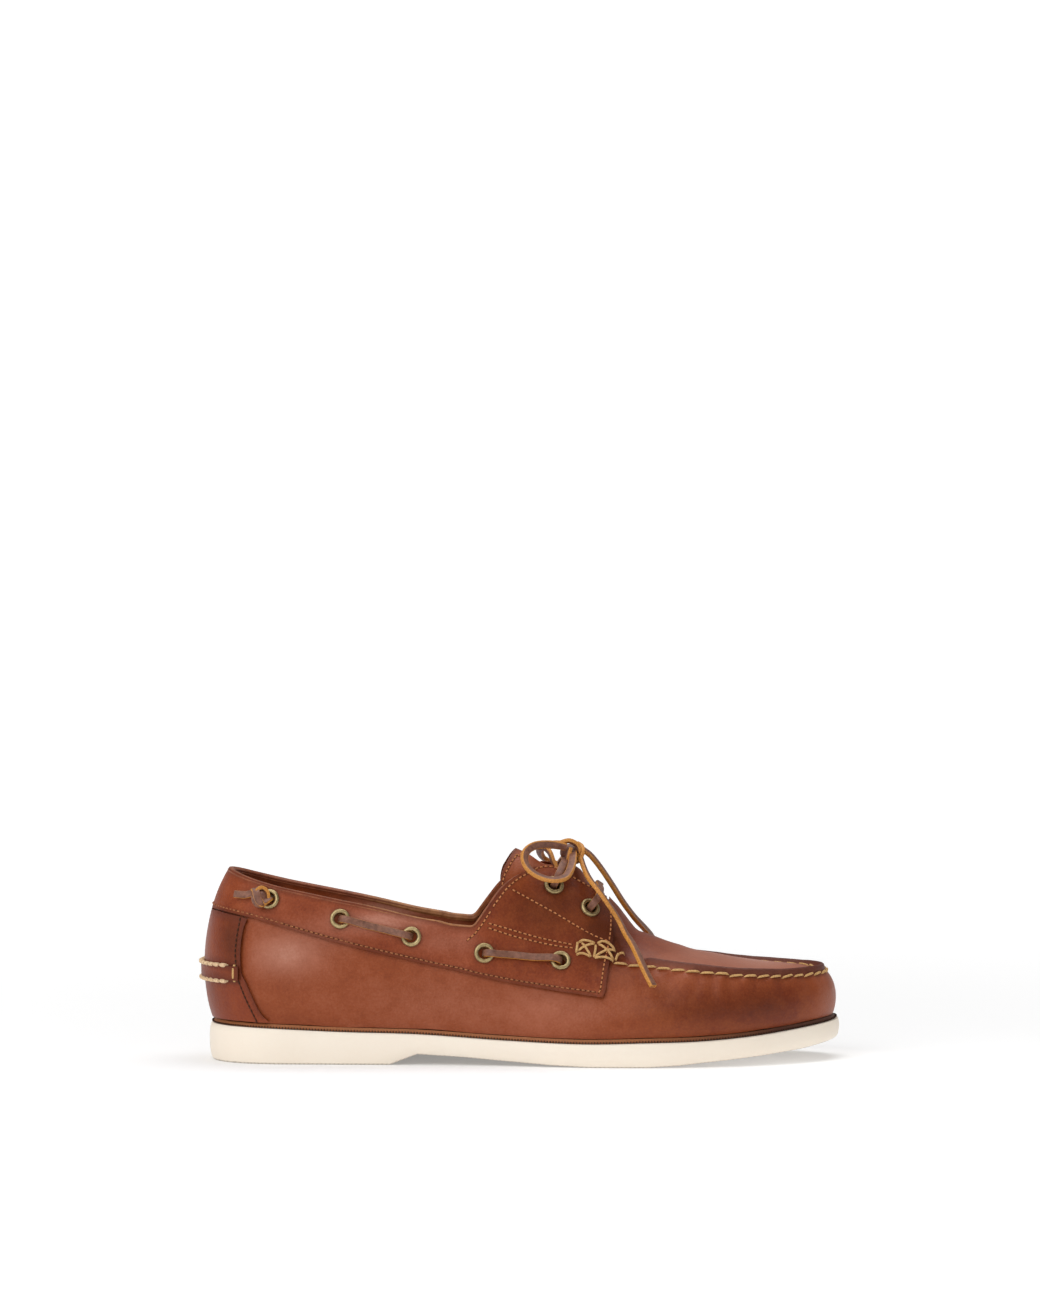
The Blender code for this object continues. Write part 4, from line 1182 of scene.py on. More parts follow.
def floor_finish(name):
    """White studio floor: it glows a little wherever the lamps don't reach, so that it is even, and a pool of glow
    beside the toe paints light into the shadow there.
    """
    made = Finish(name, 0.9)
    x, y = made.axis("X") - 0.1, made.axis("Y") - 0.1
    lamps = 1 / (1 + (x * x + y * y) / 1.45) ** 2
    # Painted light: a pool of glow beside the toe lightens its cast shadow.
    toe = 1 / (1 + ((x - 0.14) ** 2 + (y + 0.14) ** 2) * 220)
    glow = made.two(0.14 + (1 - lamps) * 0.64 + toe * 0.25, (0.0, 0.0, 0.0), (1.0, 1.0, 1.0), 0.0, 1.0)
    grey = (0.8, 0.8, 0.8)
    return made.set(Base_Color=grey, Emission_Color=glow, Emission_Strength=1.0, Specular_IOR_Level=0.1)


# Name: maker and its values
MAKERS = {
    "quarter_leather": (leather, 0.44),
    "overlay_leather": (leather, 0.50, 1.0, 0.45, 0.30),
    "counter_leather": (leather, 0.42, 0.92, 0.0, 0.45),
    "rim_leather": (rim_finish,),
    "flesh_side": (lining_finish,),
    "cut_edge": (fibre_finish, (0.090, 0.028, 0.014), (0.230, 0.090, 0.040), 0.7, 1800, 4, 0.7, 0.5),
    "sock_leather": (sock_finish,),
    "rand_edge": (rand_finish,),
    "cream_rubber": (rubber_finish,),
    "antique_brass": (brass_finish,),
    "rawhide": (rawhide_finish,),
    "gold_thread": (fibre_finish, (0.400, 0.215, 0.075), (0.700, 0.440, 0.190)),
    "tan_thread": (fibre_finish, (0.380, 0.130, 0.045), (0.640, 0.270, 0.110)),
    "brown_thread": (fibre_finish, (0.190, 0.060, 0.022), (0.480, 0.190, 0.085)),
    "dark_thread": (fibre_finish, (0.022, 0.009, 0.006), (0.070, 0.028, 0.016)),
    # Painted shade for the strips under the stitch rows and along the counter's edge
    "groove_thread": (fibre_finish, (0.070, 0.016, 0.006), (0.130, 0.036, 0.014)),
    "kicker_thread": (fibre_finish, (0.560, 0.360, 0.190), (0.840, 0.640, 0.420)),
    "pale_floor": (floor_finish,),
}


# Rows of like pieces, set out by Geometry Nodes


def row_tree():
    """Sets a template out on points that carry a run and an outward direction."""
    tree = bpy.data.node_groups.get("set_out")
    if tree:
        return tree
    tree = bpy.data.node_groups.new("set_out", "GeometryNodeTree")
    kinds = {"Points": "Geometry", "Template": "Object", "Length": "Float", "Width": "Float", "Height": "Float"}
    for name, kind in {**kinds, "Finish": "Material"}.items():
        tree.interface.new_socket(name, in_out="INPUT", socket_type="NodeSocket" + kind)
    tree.interface.new_socket("Pieces", in_out="OUTPUT", socket_type="NodeSocketGeometry")

    def add(kind, links, **settings):
        node = tree.nodes.new(kind)
        for key, value in settings.items():
            setattr(node, key, value)
        for key, socket in links.items():
            tree.links.new(socket, node.inputs[key])
        return node.outputs

    def stored(name):
        outputs = add("GeometryNodeInputNamedAttribute", {}, data_type="FLOAT_VECTOR")
        outputs["Attribute"].node.inputs["Name"].default_value = name
        return outputs["Attribute"]

    start = add("NodeGroupInput", {})
    upright = add("FunctionNodeAlignRotationToVector", {"Vector": stored("out")}, axis="Z", pivot_axis="AUTO")
    links = {"Rotation": upright["Rotation"], "Vector": stored("way")}
    turned = add("FunctionNodeAlignRotationToVector", links, axis="X", pivot_axis="Z")
    size = add("ShaderNodeCombineXYZ", {"X": start["Length"], "Y": start["Width"], "Z": start["Height"]})
    info = add("GeometryNodeObjectInfo", {"Object": start["Template"]}, transform_space="ORIGINAL")
    links = {"Points": start["Points"], "Instance": info["Geometry"], "Scale": size[0]}
    links["Rotation"] = turned["Rotation"]
    spread = add("GeometryNodeInstanceOnPoints", links)
    real = add("GeometryNodeRealizeInstances", {"Geometry": spread["Instances"]})
    paint = add("GeometryNodeSetMaterial", {"Geometry": real["Geometry"], "Material": start["Finish"]})
    add("NodeGroupOutput", {"Pieces": paint["Geometry"]})
    return tree


def stitch_template():
    """One stitch of unit size: an arch of thread that dips into the leather at both ends."""
    bm = bmesh.new()
    rings = []
    for step in range(7):
        u = step / 6 * 2 - 1
        radius = math.sqrt(max(1 - abs(u) ** 5, 0.04)) / 2
        rings.append([(u / 2, cos * radius, 0.30 - 0.75 * u**4 + sin * radius) for cos, sin in circle(6)])
    tube(bm, rings)
    return finished(bm, "template")


def eyelet_template():
    """One eyelet: rolled flange, throat and the tube that holds it."""
    hole, flange, outer = EYELET_HOLE / 2, EYELET_FLANGE / 2, EYELET_HOLE / 2 + EYELET_WALL
    seat, tail = OVERLAY_GAP + OVERLAY, -UPPER_WALL - EYELET_TAIL
    profile = [(hole, tail)]
    for step in range(11):
        angle = math.pi * step / 10
        radius = (hole + flange) / 2 - (flange - hole) / 2 * math.cos(angle)
        profile.append((radius, seat + CLEAR + EYELET_RISE * math.sin(angle) ** 0.8))
    profile += [(flange, seat), (outer, seat), (outer, tail)]
    bm = bmesh.new()
    tube(bm, [[(radius * cos, radius * sin, z) for radius, z in profile] for cos, sin in circle(40)], "joined")
    return finished(bm, "template")


def set_out(name, slot, look, places, template, size, *nodes):
    """Copies a template to each place with the tree, as one plain mesh that is settled."""
    mesh = bpy.data.meshes.new(name)
    mesh.from_pydata([tuple(point) for point, _, _ in places], [], [])
    for key, column in (("way", 1), ("out", 2)):
        attribute = mesh.attributes.new(key, "FLOAT_VECTOR", "POINT")
        attribute.data.foreach_set("vector", [value for item in places for value in item[column]])
    made = bpy.data.objects.new(name, mesh)
    bpy.context.scene.collection.objects.link(made)
    modifier = made.modifiers.new("set_out", "NODES")
    modifier.node_group = row_tree()
    source = template()
    values = {"Template": source, "Length": size[0], "Width": size[1], "Height": size[2], "Finish": finish(look)}
    for item in modifier.node_group.interface.items_tree:
        if item.in_out == "INPUT" and item.name in values:
            modifier[item.identifier] = values[item.name]
    settle(flattened(made), slot, look, *nodes)
    bpy.data.objects.remove(source)


def lifted(line, height):
    """Each place of a line moved along its outward direction, which comes last."""
    return [(item[0] + item[-1] * height, *item[1:]) for item in line]


# Lace


def strip(bm, points, across, width, thick, steps=5, gold=0.75):
    """A flat lace with rounded corners, and its middle line. The side attribute is 1 on its narrow cut sides."""
    line, widths = flow(points, steps), flow(across, steps)
    corner = 0.28 * thick
    section = []
    for sx, sy in ((1, 1), (-1, 1), (-1, -1), (1, -1)):
        for bend in (0.0, 0.5, 1.0)[:: sx * sy]:
            u = sx * (width / 2 - corner + corner * math.cos(bend * math.pi / 2))
            v = sy * (thick / 2 - corner + corner * math.sin(bend * math.pi / 2))
            section.append((u, v, float(bend < gold)))
    rings = []
    for index, (here, wide) in enumerate(zip(line, widths)):
        ahead = run_at(line, index)
        side = (wide - ahead * wide.dot(ahead)).normalized()
        face = side.cross(ahead).normalized()
        rings.append([here + side * u + face * v for u, v, _ in section])
    layer = bm.verts.layers.float.get("side") or bm.verts.layers.float.new("side")
    for row in tube(bm, rings):
        for vert, (_, _, cut_side) in zip(row, section):
            vert[layer] = cut_side
    return line


def bar_path(first, second):
    """The lace outside the collar, out of one eyelet and into the next."""
    (start, start_out), (end, end_out) = first, second
    way = (end - start).normalized()
    out = (start_out + end_out).normalized()
    line = [start + way * run + start_out * lift for run, lift in BAR_END]
    for share in (0.35, 0.5, 0.65):
        line.append(Form.nearest(start.lerp(end, share))[0] + out * BAR_LIFT)
    line += [end - way * run + end_out * lift for run, lift in reversed(BAR_END)]
    return line, [out.cross(way)] * len(line)


def crossing_path(near, far, crest):
    """The lace from an eyelet over the wing and the tongue to the other side's eyelet."""
    along, lift, ahead = crest
    top = Vector((along * LENGTH, 0, seam_height(along) + crown_rise(along, 0) + lift))
    halves, widths = [], []
    for point, out in (near, far):
        up = (top - point + Vector((ahead, 0, 0))).normalized()
        up = (up - out * up.dot(out)).normalized()
        half = [point + up * run + out * height for run, height in BAR_END[:2]]
        half += [point + up * run + out * (height + CROSSING_LIFT) for run, height in BAR_END[2:]]
        found, normal = Form.nearest(half[-1].lerp(top, 0.5))
        half.append(found + normal * BAR_LIFT)
        halves.append(half)
        wide = out.cross(up)
        widths.append([wide if wide.x > 0 else -wide] * len(half))
    line = halves[0] + [top] + halves[1][::-1]
    fall = [seam_height(along + step) + crown_rise(along + step, 0) for step in (0.012, -0.012)]
    slope = Vector((0.024 * LENGTH, 0, (fall[0] - fall[1]) * 0.85)).normalized()
    return line, widths[0] + [slope] + widths[1]


def behind(out):
    """Back and up along the leather at an eyelet that faces out."""
    back = Vector((-1, 0, 0))
    back = (back - out * back.dot(out)).normalized()
    up = out.cross(back)
    return back, -up if up.z < 0 else up


def stop_path(eyelet):
    """The lace end at a rear eyelet."""
    point, out = eyelet
    back, up = behind(out)
    line = []
    for along, above, height in STOP_KNOT:
        found, normal = Form.nearest(point + back * along + up * above)
        line.append(found + normal * height)
    line[-1] = line[-1] + (line[-1] - line[-2]).normalized() * STOP_TAIL
    return line, [back.lerp(out, 0.2)] * 8 + [up] * (len(line) - 8)


def stop_ring(eyelet):
    """(centre, points round it, axis) of the turn of lace that locks a rear end."""
    point, out = eyelet
    back, up = behind(out)
    centre = point + back * RING_AT[0] + up * RING_AT[1] + out * RING_AT[2]
    swing = (back * 0.75 + out * 0.66).normalized()
    axis = (out * 0.75 - back * 0.66).normalized()
    around = []
    for step in range(11):
        angle = math.radians(-100 + 400 * step / 10)
        offset = up * math.cos(angle) * RING_RADII[0] + swing * math.sin(angle) * RING_RADII[1]
        around.append(centre + (offset + axis * (0.0006 - 0.0014 * step / 10)))
    return centre, around, axis


# Sizes and colours that a user would change


def amount(name, default, text, unit="LENGTH"):
    return FloatProperty(name=name, description=text, default=default, unit=unit)


class ShoeLeather(bpy.types.PropertyGroup):
    crease_depth: amount("Crease depth", 1.0, "Share of the drawn depth of creases and puckers", "NONE")


class ShoeThread(bpy.types.PropertyGroup):
    stitch_pitch: amount("Stitch pitch", 0.0024, "Distance between fine stitches")
    stitch_width: amount("Stitch width", 0.0007, "Width of the fine thread")
    plug_pitch: amount("Plug pitch", 0.0069, "Distance between the hand-sewn stitches")
    plug_width: amount("Plug thread", 0.0012, "Width of the hand-sewn thread")
    feather_pitch: amount("Feather pitch", 0.0014, "Distance between the dark stitches over the sole")


class ShoeLace(bpy.types.PropertyGroup):
    width: amount("Lace width", LACE_WIDTH, "Width of the rawhide lace")
    thick: amount("Lace thickness", LACE_THICK, "Thickness of the rawhide lace")


class ShoeStage(bpy.types.PropertyGroup):
    key_power: amount("Key light", 12.0, "Power of the large soft light", "POWER")
    top_power: amount("Top light", 9.0, "Power of the light overhead", "POWER")
    sky: amount("Sky", 0.32, "Brightness of the white surroundings", "NONE")
    focal: amount("Focal length", 300.0, "Focal length in millimetres", "NONE")
    scale: amount("Picture scale", 0.00047, "Metres for each pixel of a picture 1300 pixels high", "LENGTH")


# Pieces


class SHOE_OT_sole(bpy.types.Operator):
    """Rubber outsole with its heel, arch and toe spring, the rand over it and the sock inside"""

    bl_idname = "shoe.sole"
    bl_label = "Sole"

    def execute(self, context):
        loop = both_sides(SOLE_TURNS)
        rings = []
        for share, inset in SOLE_SIDE:
            flat = [plan(turn, inset) for turn in loop]
            rings.append([(x, y, sole_bottom(x) + (sole_top(x) - sole_bottom(x)) * share) for x, y in flat])
        sole = level_solid("rubber_sole", rings)
        note(sole.data, "under", [float(z < sole_bottom(x) + 0.0004) for x, _, z in points_of(sole.data)])
        settle(sole, "rubber", "cream_rubber", "outsole", sharp=30)
        rand_slope = FEATHER_INSET - RAND_INSET - 0.0001
        above = RAND + UPPER_WALL + 3 * CLEAR
        layers = (
            ("rand_layer", "midsole", "rand", "rand_edge", RAND_INSET, rand_slope, CLEAR, RAND),
            ("sock_layer", "insole", "sock", "sock_leather", INSOLE_INSET, 0.0003, above, INSOLE),
        )
        for name, node, slot, look, inset, slope, bottom, thickness in layers:
            rings = []
            for height in (0.0, 0.15, 0.85, 1.0):
                flat = [plan(turn, inset + slope * height) for turn in loop]
                rings.append([(x, y, sole_top(x) + bottom + thickness * height) for x, y in flat])
            settle(level_solid(name, rings), slot, look, node)
        return {"FINISHED"}


class SHOE_OT_upper(bpy.types.Operator):
    """Leather upper with its raised toe seam and puckers, open at collar and throat"""

    bl_idname = "shoe.upper"
    bl_label = "Upper"

    def execute(self, context):
        made = skin("leather_upper", 0.0, -UPPER_WALL, lambda centre: True, True)
        cut(made, [prism(grown(throat_outline(), OVERHANG)), eyelet_cutter()])
        mark_leather(made.data, True)
        settle(made, "leather", "quarter_leather flesh_side cut_edge", "upper")
        return {"FINISHED"}


class SHOE_OT_overlays(bpy.types.Operator):
    """Collar band with both wings, and the heel counter with its seam bead"""

    bl_idname = "shoe.overlays"
    bl_label = "Overlays"

    def execute(self, context):
        reach = BAND_FRONT[4][0] * LENGTH + SPARE
        back = COUNTER_EDGE[-1][0] * LENGTH + SPARE
        top = OVERLAY_GAP + OVERLAY

        def near_band(centre):
            low = straight(BAND_LOW, 1, centre.x / LENGTH) * COLLAR_HEIGHT
            return centre.x < reach and centre.z > low - SPARE / 2

        def near_counter(centre):
            return centre.x < back and centre.z > feather_height(centre.x) + CLEAR

        band = skin("leather_band", top, OVERLAY_GAP, near_band)
        cut(band, [prism(band_outline())], "INTERSECT")
        cut(band, [eyelet_cutter()])
        mark_leather(band.data)
        settle(band, "band", "overlay_leather flesh_side cut_edge", "collar_band")
        counter = skin("leather_counter", top, OVERLAY_GAP, near_counter)
        cut(counter, [prism(counter_outline())], "INTERSECT")
        bead = skin("bead", top + KICKER, OVERLAY_GAP + OVERLAY / 2, near_counter)
        low, high = KICKER_LOW + 0.0006, KICKER_HIGH - 0.0006
        box = ((BEHIND, 0, low), (KICKER_REACH, 0, low), (KICKER_REACH, 0, high), (BEHIND, 0, high))
        cut(bead, [prism(box)], "INTERSECT")
        cut(counter, [bead], "UNION")
        mark_leather(counter.data)
        settle(counter, "counter", "counter_leather flesh_side cut_edge", "heel_counter")
        return {"FINISHED"}


class SHOE_OT_rim(bpy.types.Operator):
    """Rolled leather edge round the collar"""

    bl_idname = "shoe.rim"
    bl_label = "Collar rim"

    def execute(self, context):
        last = WING_REAR[-1][0] * LENGTH
        turns = [turn for turn in TURNS if wall_point(turn, 1.0).x < last - 0.001]
        back = [wall_point(turn, 1.0) for turn in turns[::-1]] + [wall_point(2 - turn, 1.0) for turn in turns[1:]]
        if back[0].y > 0:
            back.reverse()
        line = side_line(WING_REAR, False, 4) + [Form.nearest(point) for point in back]
        line += side_line(WING_REAR, True, 4)[::-1]
        line = [line[0]] + [item for before, item in zip(line, line[1:]) if (item[0] - before[0]).length > 0.0006]
        middle = (OVERLAY_GAP + OVERLAY - UPPER_WALL) / 2
        bm = bmesh.new()
        thread_stroke(bm, lifted(moved_in(line, RIM_INSET), middle), RIM_THREAD)
        settle(finished(bm, "collar_rim"), "band", "rim_leather")
        return {"FINISHED"}


def tongue_swell(x, y):
    rise = TONGUE_SWELL * ease((0.182 - x) / 0.009) * ease((x - 0.164) / 0.007)
    rise -= TONGUE_DIP * math.exp(-(((x - 0.157) / 0.0055) ** 2))
    return rise * math.exp(-((y / 0.014) ** 4))


class SHOE_OT_tongue(bpy.types.Operator):
    """Leather tongue under the wings"""

    bl_idname = "shoe.tongue"
    bl_label = "Tongue"

    def execute(self, context):
        outer = -UPPER_WALL - EYELET_TAIL - 2 * CLEAR

        def under_throat(centre):
            along = centre.x / LENGTH
            whole = crown_rise(along, TONGUE_SPREAD)
            return CROWN_FROM < along < TONGUE_FRONT and centre.z - seam_height(along) > whole

        made = skin("leather_tongue", outer, outer - TONGUE, under_throat)
        cut(made, [prism(flow(side_view(TONGUE_REAR), 3))], "INTERSECT")
        mark_leather(made.data)
        for vert in made.data.vertices:
            vert.co.z += tongue_swell(vert.co.x, vert.co.y)
        settle(made, "tongue", "quarter_leather flesh_side cut_edge", "tongue")
        return {"FINISHED"}


class SHOE_OT_eyelets(bpy.types.Operator):
    """Fourteen antique brass eyelets, seven a side"""

    bl_idname = "shoe.eyelets"
    bl_label = "Eyelets"

    def execute(self, context):
        places = [(point, Vector((1, 0, 0)), normal) for spots in eyelet_spots().values() for point, normal in spots]
        names = [f"eyelet_{side}_{number}" for side in ("lateral", "medial") for number in range(1, 8)]
        set_out("brass_eyelets", "brass", "antique_brass", places, eyelet_template, (1.0, 1.0, 1.0), *names)
        return {"FINISHED"}


class SHOE_OT_rows(bpy.types.Operator):
    """Fine stitch rows on band, wings, counter and tongue, strips of painted shade under them and along the
    counter's edge, and the dark stitches round the feather
    """

    bl_idname = "shoe.rows"
    bl_label = "Stitch rows"

    def execute(self, context):
        sizes = context.scene.shoe_thread
        on_band = OVERLAY_GAP + OVERLAY
        places, band_places, counter_places = [], [], []
        shade_strips = bmesh.new()

        def sew(line, into):
            into += lifted(spaced(line, sizes.stitch_pitch), on_band)
            # A dark strip under each row paints the shade in the stitch line.
            ribbon(shade_strips, line, sizes.stitch_width * 1.15, on_band + 0.00004)

        for medial in (False, True):
            turn = 1 if medial else -1
            low = side_line(BAND_LOW, medial)
            wing = side_line(BAND_FRONT, medial) + side_line(LACE_EDGE + WING_REAR[:5], medial)
            sew(moved_in(low, -BAND_ROW * turn), band_places)
            sew(moved_in(wing, -WING_ROW * turn), places)
            for row in (DOUBLE_UPPER, DOUBLE_LOWER, DIAGONAL, WING_TAIL):
                sew(seen(row, medial), places)
            for row in COUNTER_ROWS:
                sew(seen(row, medial), counter_places)
            under = UPPER_WALL + EYELET_TAIL + 2 * CLEAR + on_band
            rear = []
            for point, normal in moved_in(side_line(TONGUE_REAR, medial), -TONGUE_ROW * turn):
                rear.append((point - normal * under + Vector((0, 0, tongue_swell(point.x, point.y))), normal))
            sew([item for item in rear if item[0].z > 0.07], places)
            # Dark strip along the counter's edge: painted shadow below its step, and edge paint.
            ribbon(shade_strips, moved_in(side_line(COUNTER_EDGE, medial, 5), 0.0004 * turn), 0.0012, 0.0003)
        sew(heel_line(BAND_LOW[0][1] * COLLAR_HEIGHT + BAND_ROW, BAND_LOW[0][0] * LENGTH), band_places)
        fine = (sizes.stitch_pitch * 0.80, sizes.stitch_width, sizes.stitch_width)
        set_out("fine_stitches", "band", "tan_thread", places, stitch_template, fine)
        set_out("band_stitches", "band", "brown_thread", band_places, stitch_template, fine)
        set_out("counter_stitches", "counter", "dark_thread", counter_places, stitch_template, fine)
        # The strips of painted shade, as one mesh.
        settle(finished(shade_strips, "seam_grooves"), "band", "groove_thread")
        loop = [plan(turn, RAND_INSET - 0.0001) for turn in both_sides(TURNS)]
        loop = [Vector((x, y, sole_top(x) + CLEAR + 0.0004)) for x, y in loop + loop[:1]]
        line = []
        for index, point in enumerate(loop):
            ahead = run_at(loop, index)
            line.append((point, Vector((ahead.y, -ahead.x, 0)).normalized()))
        size = (sizes.feather_pitch * 0.55, FEATHER_THREAD, FEATHER_THREAD)
        row = spaced(line, sizes.feather_pitch)
        set_out("feather_stitches", "rand", "dark_thread", row, stitch_template, size)
        return {"FINISHED"}


def ribbon(bm, line, width, lift):
    """A thin flat band laid along a line of the surface, as a strip of painted shade."""
    rows = []
    for point, normal, run in with_run(line):
        across = normal.cross(run).normalized() * width / 2
        base = point + normal * lift
        rows.append([bm.verts.new(spot) for spot in (base - across, base + normal * 0.00008, base + across)])
    for here, after in zip(rows, rows[1:]):
        for side in (0, 1):
            bm.faces.new((here[side], after[side], after[side + 1], here[side + 1]))


def thread_stroke(bm, line, width):
    """A round thread laid along a line of the surface, dipping in at both ends."""
    rings = []
    for index, (point, normal, run) in enumerate(with_run(line)):
        across = normal.cross(run).normalized()
        dip = -0.9 * width * (index / (len(line) - 1) * 2 - 1) ** 6
        rings.append([point + across * cos * width / 2 + normal * (sin * width / 2 + dip) for cos, sin in circle(8)])
    tube(bm, rings)


class SHOE_OT_hand_sewing(bpy.types.Operator):
    """Thick gold thread: the plug's slanted stitches, the cross stitches at the wings and the heel bead's rows"""

    bl_idname = "shoe.hand_sewing"
    bl_label = "Hand sewing"

    def execute(self, context):
        sizes = context.scene.shoe_thread
        on_band = OVERLAY_GAP + OVERLAY
        places, inner = [], []
        first, last = SEAM_TURNS
        seam = [Form.nearest(wall_point(first + (last - first) * step / 160, 0.985)) for step in range(161)]
        for point, way, out in spaced(seam, sizes.plug_pitch):
            slanted = way + Vector((0, 0, 0.20)) * (1 if out.y < 0 else -1)
            places.append((point + out * 0.0004, slanted.normalized(), out))
        first, last = PLUG_TURNS
        for step in range(121):
            turn = first + (last - first) * step / 120
            inward = plan(turn, 1) - plan(turn, 0)
            inner.append((shoulder_point(turn, PLUG_ROW), Vector((inward.x, inward.y, 0.9)).normalized()))
        for point, way, out in spaced(inner, sizes.plug_pitch):
            places.append((point + out * 0.0007, (way + Vector((0, 0, 0.12))).normalized(), out))
        size = (sizes.plug_pitch * 1.02, sizes.plug_width, sizes.plug_width)
        set_out("plug_stitches", "leather", "gold_thread", places, stitch_template, size)
        places = []
        for z in (KICKER_HIGH - 0.0004, KICKER_LOW + 0.0002):
            places += lifted(spaced(heel_line(z, KICKER_REACH), BEAD_PITCH), on_band + 0.0008)
        set_out("bead_stitches", "counter", "kicker_thread", places, stitch_template, BEAD_STITCH)
        bm = bmesh.new()
        for side in (-1, 1):
            for stroke in CROSS_STITCHES:
                thread_stroke(bm, lifted(seen(stroke, side > 0), on_band + 0.0005), CROSS_THREAD)
            line = []
            for step in range(5):
                z = KICKER_HIGH + (KICKER_LOW - KICKER_HIGH) * step / 4
                start = Vector((KICKER_REACH - 0.0005, side * BALL_WIDTH, z))
                line.append(Form.meet(start, Vector((0, -side, 0))))
            thread_stroke(bm, lifted(line, on_band + KICKER * 0.8), 0.0013)
        settle(finished(bm, "cross_stitches"), "leather", "gold_thread")
        return {"FINISHED"}


class SHOE_OT_bars(bpy.types.Operator):
    """Lace bars outside the collar and the two crossings over the throat"""

    bl_idname = "shoe.bars"
    bl_label = "Lace bars"

    def execute(self, context):
        sizes = context.scene.shoe_lace
        spots = eyelet_spots()
        runs = {}
        for side, row in spots.items():
            runs[f"bar_rear_{side}"] = bar_path(row[1], row[2])
            runs[f"bar_front_{side}"] = bar_path(row[3], row[4])
        for name, row, crest in (("crossing_low", 6, LOW_CREST), ("crossing_high", 5, HIGH_CREST)):
            runs[name] = crossing_path(spots["lateral"][row], spots["medial"][row], crest)
        for name, (points, across) in runs.items():
            bm = bmesh.new()
            strip(bm, points, across, sizes.width, sizes.thick, gold=0.4)
            settle(finished(bm, "rawhide_" + name), "rawhide", "rawhide", "lace_" + name)
        return {"FINISHED"}


class SHOE_OT_bow(bpy.types.Operator):
    """The bow: knot, two loops and two ends, and the stop knots at the rear eyelets"""

    bl_idname = "shoe.bow"
    bl_label = "Bow"

    def execute(self, context):
        sizes = context.scene.shoe_lace
        view = Vector((0, -1, 0))
        bm = bmesh.new()
        for wrap in KNOT_WRAPS:
            strip(bm, wrap, [(0.25, -0.9, 0.35)] * len(wrap), sizes.width, sizes.thick)
        core = Matrix.Translation(KNOT_MIDDLE) @ Matrix.Diagonal(KNOT_CORE).to_4x4()
        bmesh.ops.create_uvsphere(bm, u_segments=20, v_segments=12, radius=0.5, matrix=core)
        knot = settle(finished(bm, "rawhide_knot"), "rawhide", "rawhide", "lace_knot")
        cords = []
        for name, points, sign in (("loop_near", LOOP_NEAR, 1), ("loop_far", LOOP_FAR, -1)):
            path = [Vector(point) for point in points]
            centre = sum(path, Vector()) / len(path)
            across = [((point - centre).normalized() * 0.75 + view * sign * 0.66).normalized() for point in path]
            cords.append((name, path, across, LOOSE_LACE, "knot", "loose", [knot] if sign > 0 else []))
        for name, points, lean, more in (("end_near", END_NEAR, 0.10, 0.52), ("end_far", END_FAR, 0.25, 0.0)):
            path = [Vector(point) for point in points]
            across = []
            for index in range(len(path)):
                right = view.cross(run_at(path, index)).normalized()
                right = -right if right.x < 0 else right
                across.append((view - right * (lean + more * (index / (len(path) - 1)) ** 3)).normalized())
            cords.append((name, path, across, LOOSE_LACE, "bare", "hanging", []))
        for side, spots in eyelet_spots().items():
            centre, around, axis = stop_ring(spots[0])
            part = bmesh.new()
            strip(part, around, [axis] * len(around), sizes.width, sizes.thick)
            ball = facing(centre, axis) @ Matrix.Diagonal(RING_CORE).to_4x4()
            bmesh.ops.create_uvsphere(part, u_segments=14, v_segments=8, radius=0.5, matrix=ball)
            ring = settle(finished(part, f"rawhide_ring_{side}"), "rawhide", "rawhide")
            cords.append((f"stop_{side}", *stop_path(spots[0]), 1.0, "bare", "loose", [ring]))
        for name, path, across, full, far_end, lay, with_pieces in cords:
            bm = bmesh.new()
            gold = 0.75 if full > 1 else 0.4
            line = strip(bm, path, across, sizes.width * full, sizes.thick * full, 4, gold)
            made = settle(finished(bm, "rawhide_" + name), "rawhide", "rawhide", "lace_" + name)
        return {"FINISHED"}


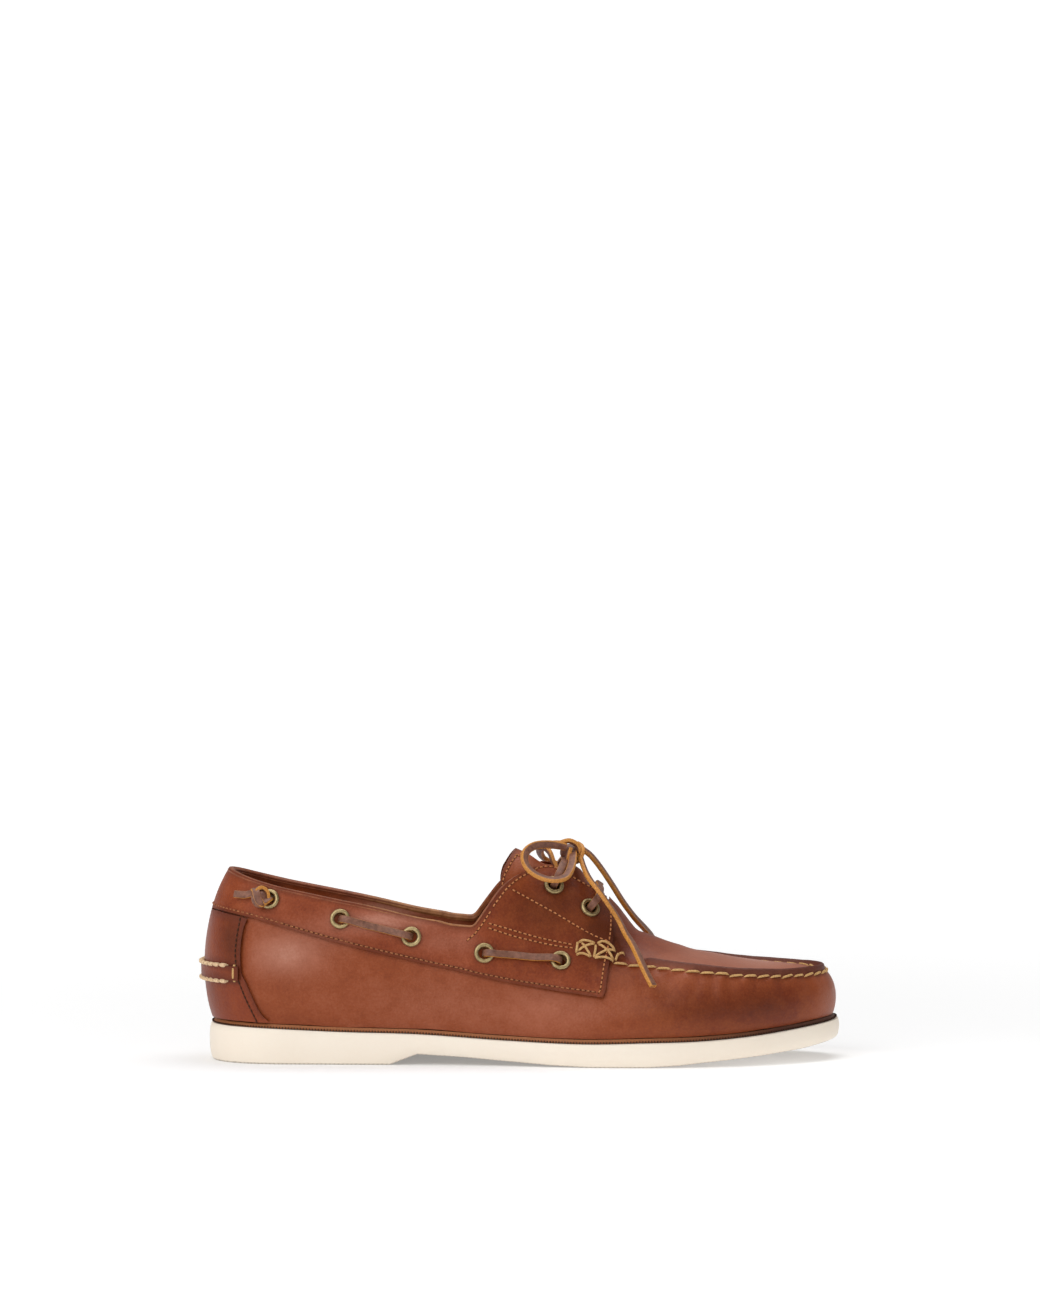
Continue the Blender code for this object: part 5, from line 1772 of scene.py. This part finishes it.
class SHOE_OT_stage(bpy.types.Operator):
    """Pale floor, white surroundings, two soft lights and the camera"""

    bl_idname = "shoe.stage"
    bl_label = "Stage"

    def execute(self, context):
        scene, sizes = context.scene, context.scene.shoe_stage
        bm = bmesh.new()
        bmesh.ops.create_circle(bm, cap_ends=True, segments=96, radius=60)
        rim = bmesh.ops.extrude_edge_only(bm, edges=[edge for edge in bm.edges if edge.is_boundary])["geom"]
        bmesh.ops.translate(bm, verts=[item for item in rim if isinstance(item, bmesh.types.BMVert)], vec=(0, 0, 3))
        floor = place(bm, "floor")
        floor.data.materials.append(finish("pale_floor"))
        scene.world = bpy.data.worlds.new("white_surroundings")
        scene.world.use_nodes = True
        ground = scene.world.node_tree.nodes["Background"]
        ground.inputs["Color"].default_value = (1.0, 1.0, 1.0, 1.0)
        ground.inputs["Strength"].default_value = sizes.sky
        lamps = (
            ("key_light", (-0.62, -0.95, 0.95), (0.08, 0.0, 0.04), 1.5, 1.1, sizes.key_power),
            ("top_light", (0.15, 0.25, 1.25), (0.10, 0.0, 0.03), 1.1, 0.8, sizes.top_power),
        )
        for name, at, aim, wide, deep, power in lamps:
            data = bpy.data.lights.new(name, "AREA")
            data.shape = "RECTANGLE"
            data.size, data.size_y, data.energy = wide, deep, power
            lamp = bpy.data.objects.new(name, data)
            lamp.location = at
            lamp.rotation_euler = (Vector(aim) - Vector(at)).to_track_quat("-Z", "Y").to_euler()
            scene.collection.objects.link(lamp)
        data = bpy.data.cameras.new("camera")
        data.lens = sizes.focal
        data.sensor_width = 36.0
        data.clip_start, data.clip_end = 0.1, 200
        distance = sizes.focal / data.sensor_width * PICTURE_HIGH * sizes.scale
        target = Vector((SHOE_MIDDLE[0], 0, SHOE_MIDDLE[1] / math.cos(SIGHT)))
        below = math.atan((SHOE_ROW - PICTURE_HIGH / 2) * sizes.scale / distance)
        camera = bpy.data.objects.new("camera", data)
        camera.location = target + Vector((0, -math.cos(SIGHT), math.sin(SIGHT))) * distance
        camera.rotation_euler = (math.pi / 2 - (SIGHT - below), 0, 0)
        scene.collection.objects.link(camera)
        scene.camera = camera
        scene.view_settings.view_transform = "Standard"
        return {"FINISHED"}


class SHOE_PT_panel(bpy.types.Panel):
    """The shoe's pieces in the order that they are made"""

    bl_label = "Boat shoe"
    bl_idname = "SHOE_PT_panel"
    bl_space_type = "VIEW_3D"
    bl_region_type = "UI"
    bl_category = "Boat shoe"

    def draw(self, context):
        for name, group in GROUPS:
            box = self.layout.box()
            box.label(text=name)
            for key in group.__annotations__:
                box.prop(getattr(context.scene, name), key)
        for operator in STEPS:
            self.layout.operator(operator.bl_idname)


GROUPS = (
    ("shoe_leather", ShoeLeather),
    ("shoe_thread", ShoeThread),
    ("shoe_lace", ShoeLace),
    ("shoe_stage", ShoeStage),
)
STEPS = (
    SHOE_OT_stage,
    SHOE_OT_bow,
    SHOE_OT_bars,
    SHOE_OT_sole,
    SHOE_OT_upper,
    SHOE_OT_overlays,
    SHOE_OT_rim,
    SHOE_OT_tongue,
    SHOE_OT_eyelets,
    SHOE_OT_rows,
    SHOE_OT_hand_sewing,
)


def register():
    for name, group in GROUPS:
        bpy.utils.register_class(group)
        setattr(bpy.types.Scene, name, PointerProperty(type=group))
    for item in (*STEPS, SHOE_PT_panel):
        bpy.utils.register_class(item)


def unregister():
    for item in reversed((*STEPS, SHOE_PT_panel)):
        bpy.utils.unregister_class(item)
    for name, group in reversed(GROUPS):
        delattr(bpy.types.Scene, name)
        bpy.utils.unregister_class(group)


def main():
    register()
    for name in ("Cube", "Light", "Camera"):
        startup = bpy.data.objects.get(name)
        if startup:
            bpy.data.objects.remove(startup)
    for operator in STEPS:
        group, call = operator.bl_idname.split(".")
        getattr(getattr(bpy.ops, group), call)()


if __name__ == "__main__":
    main()
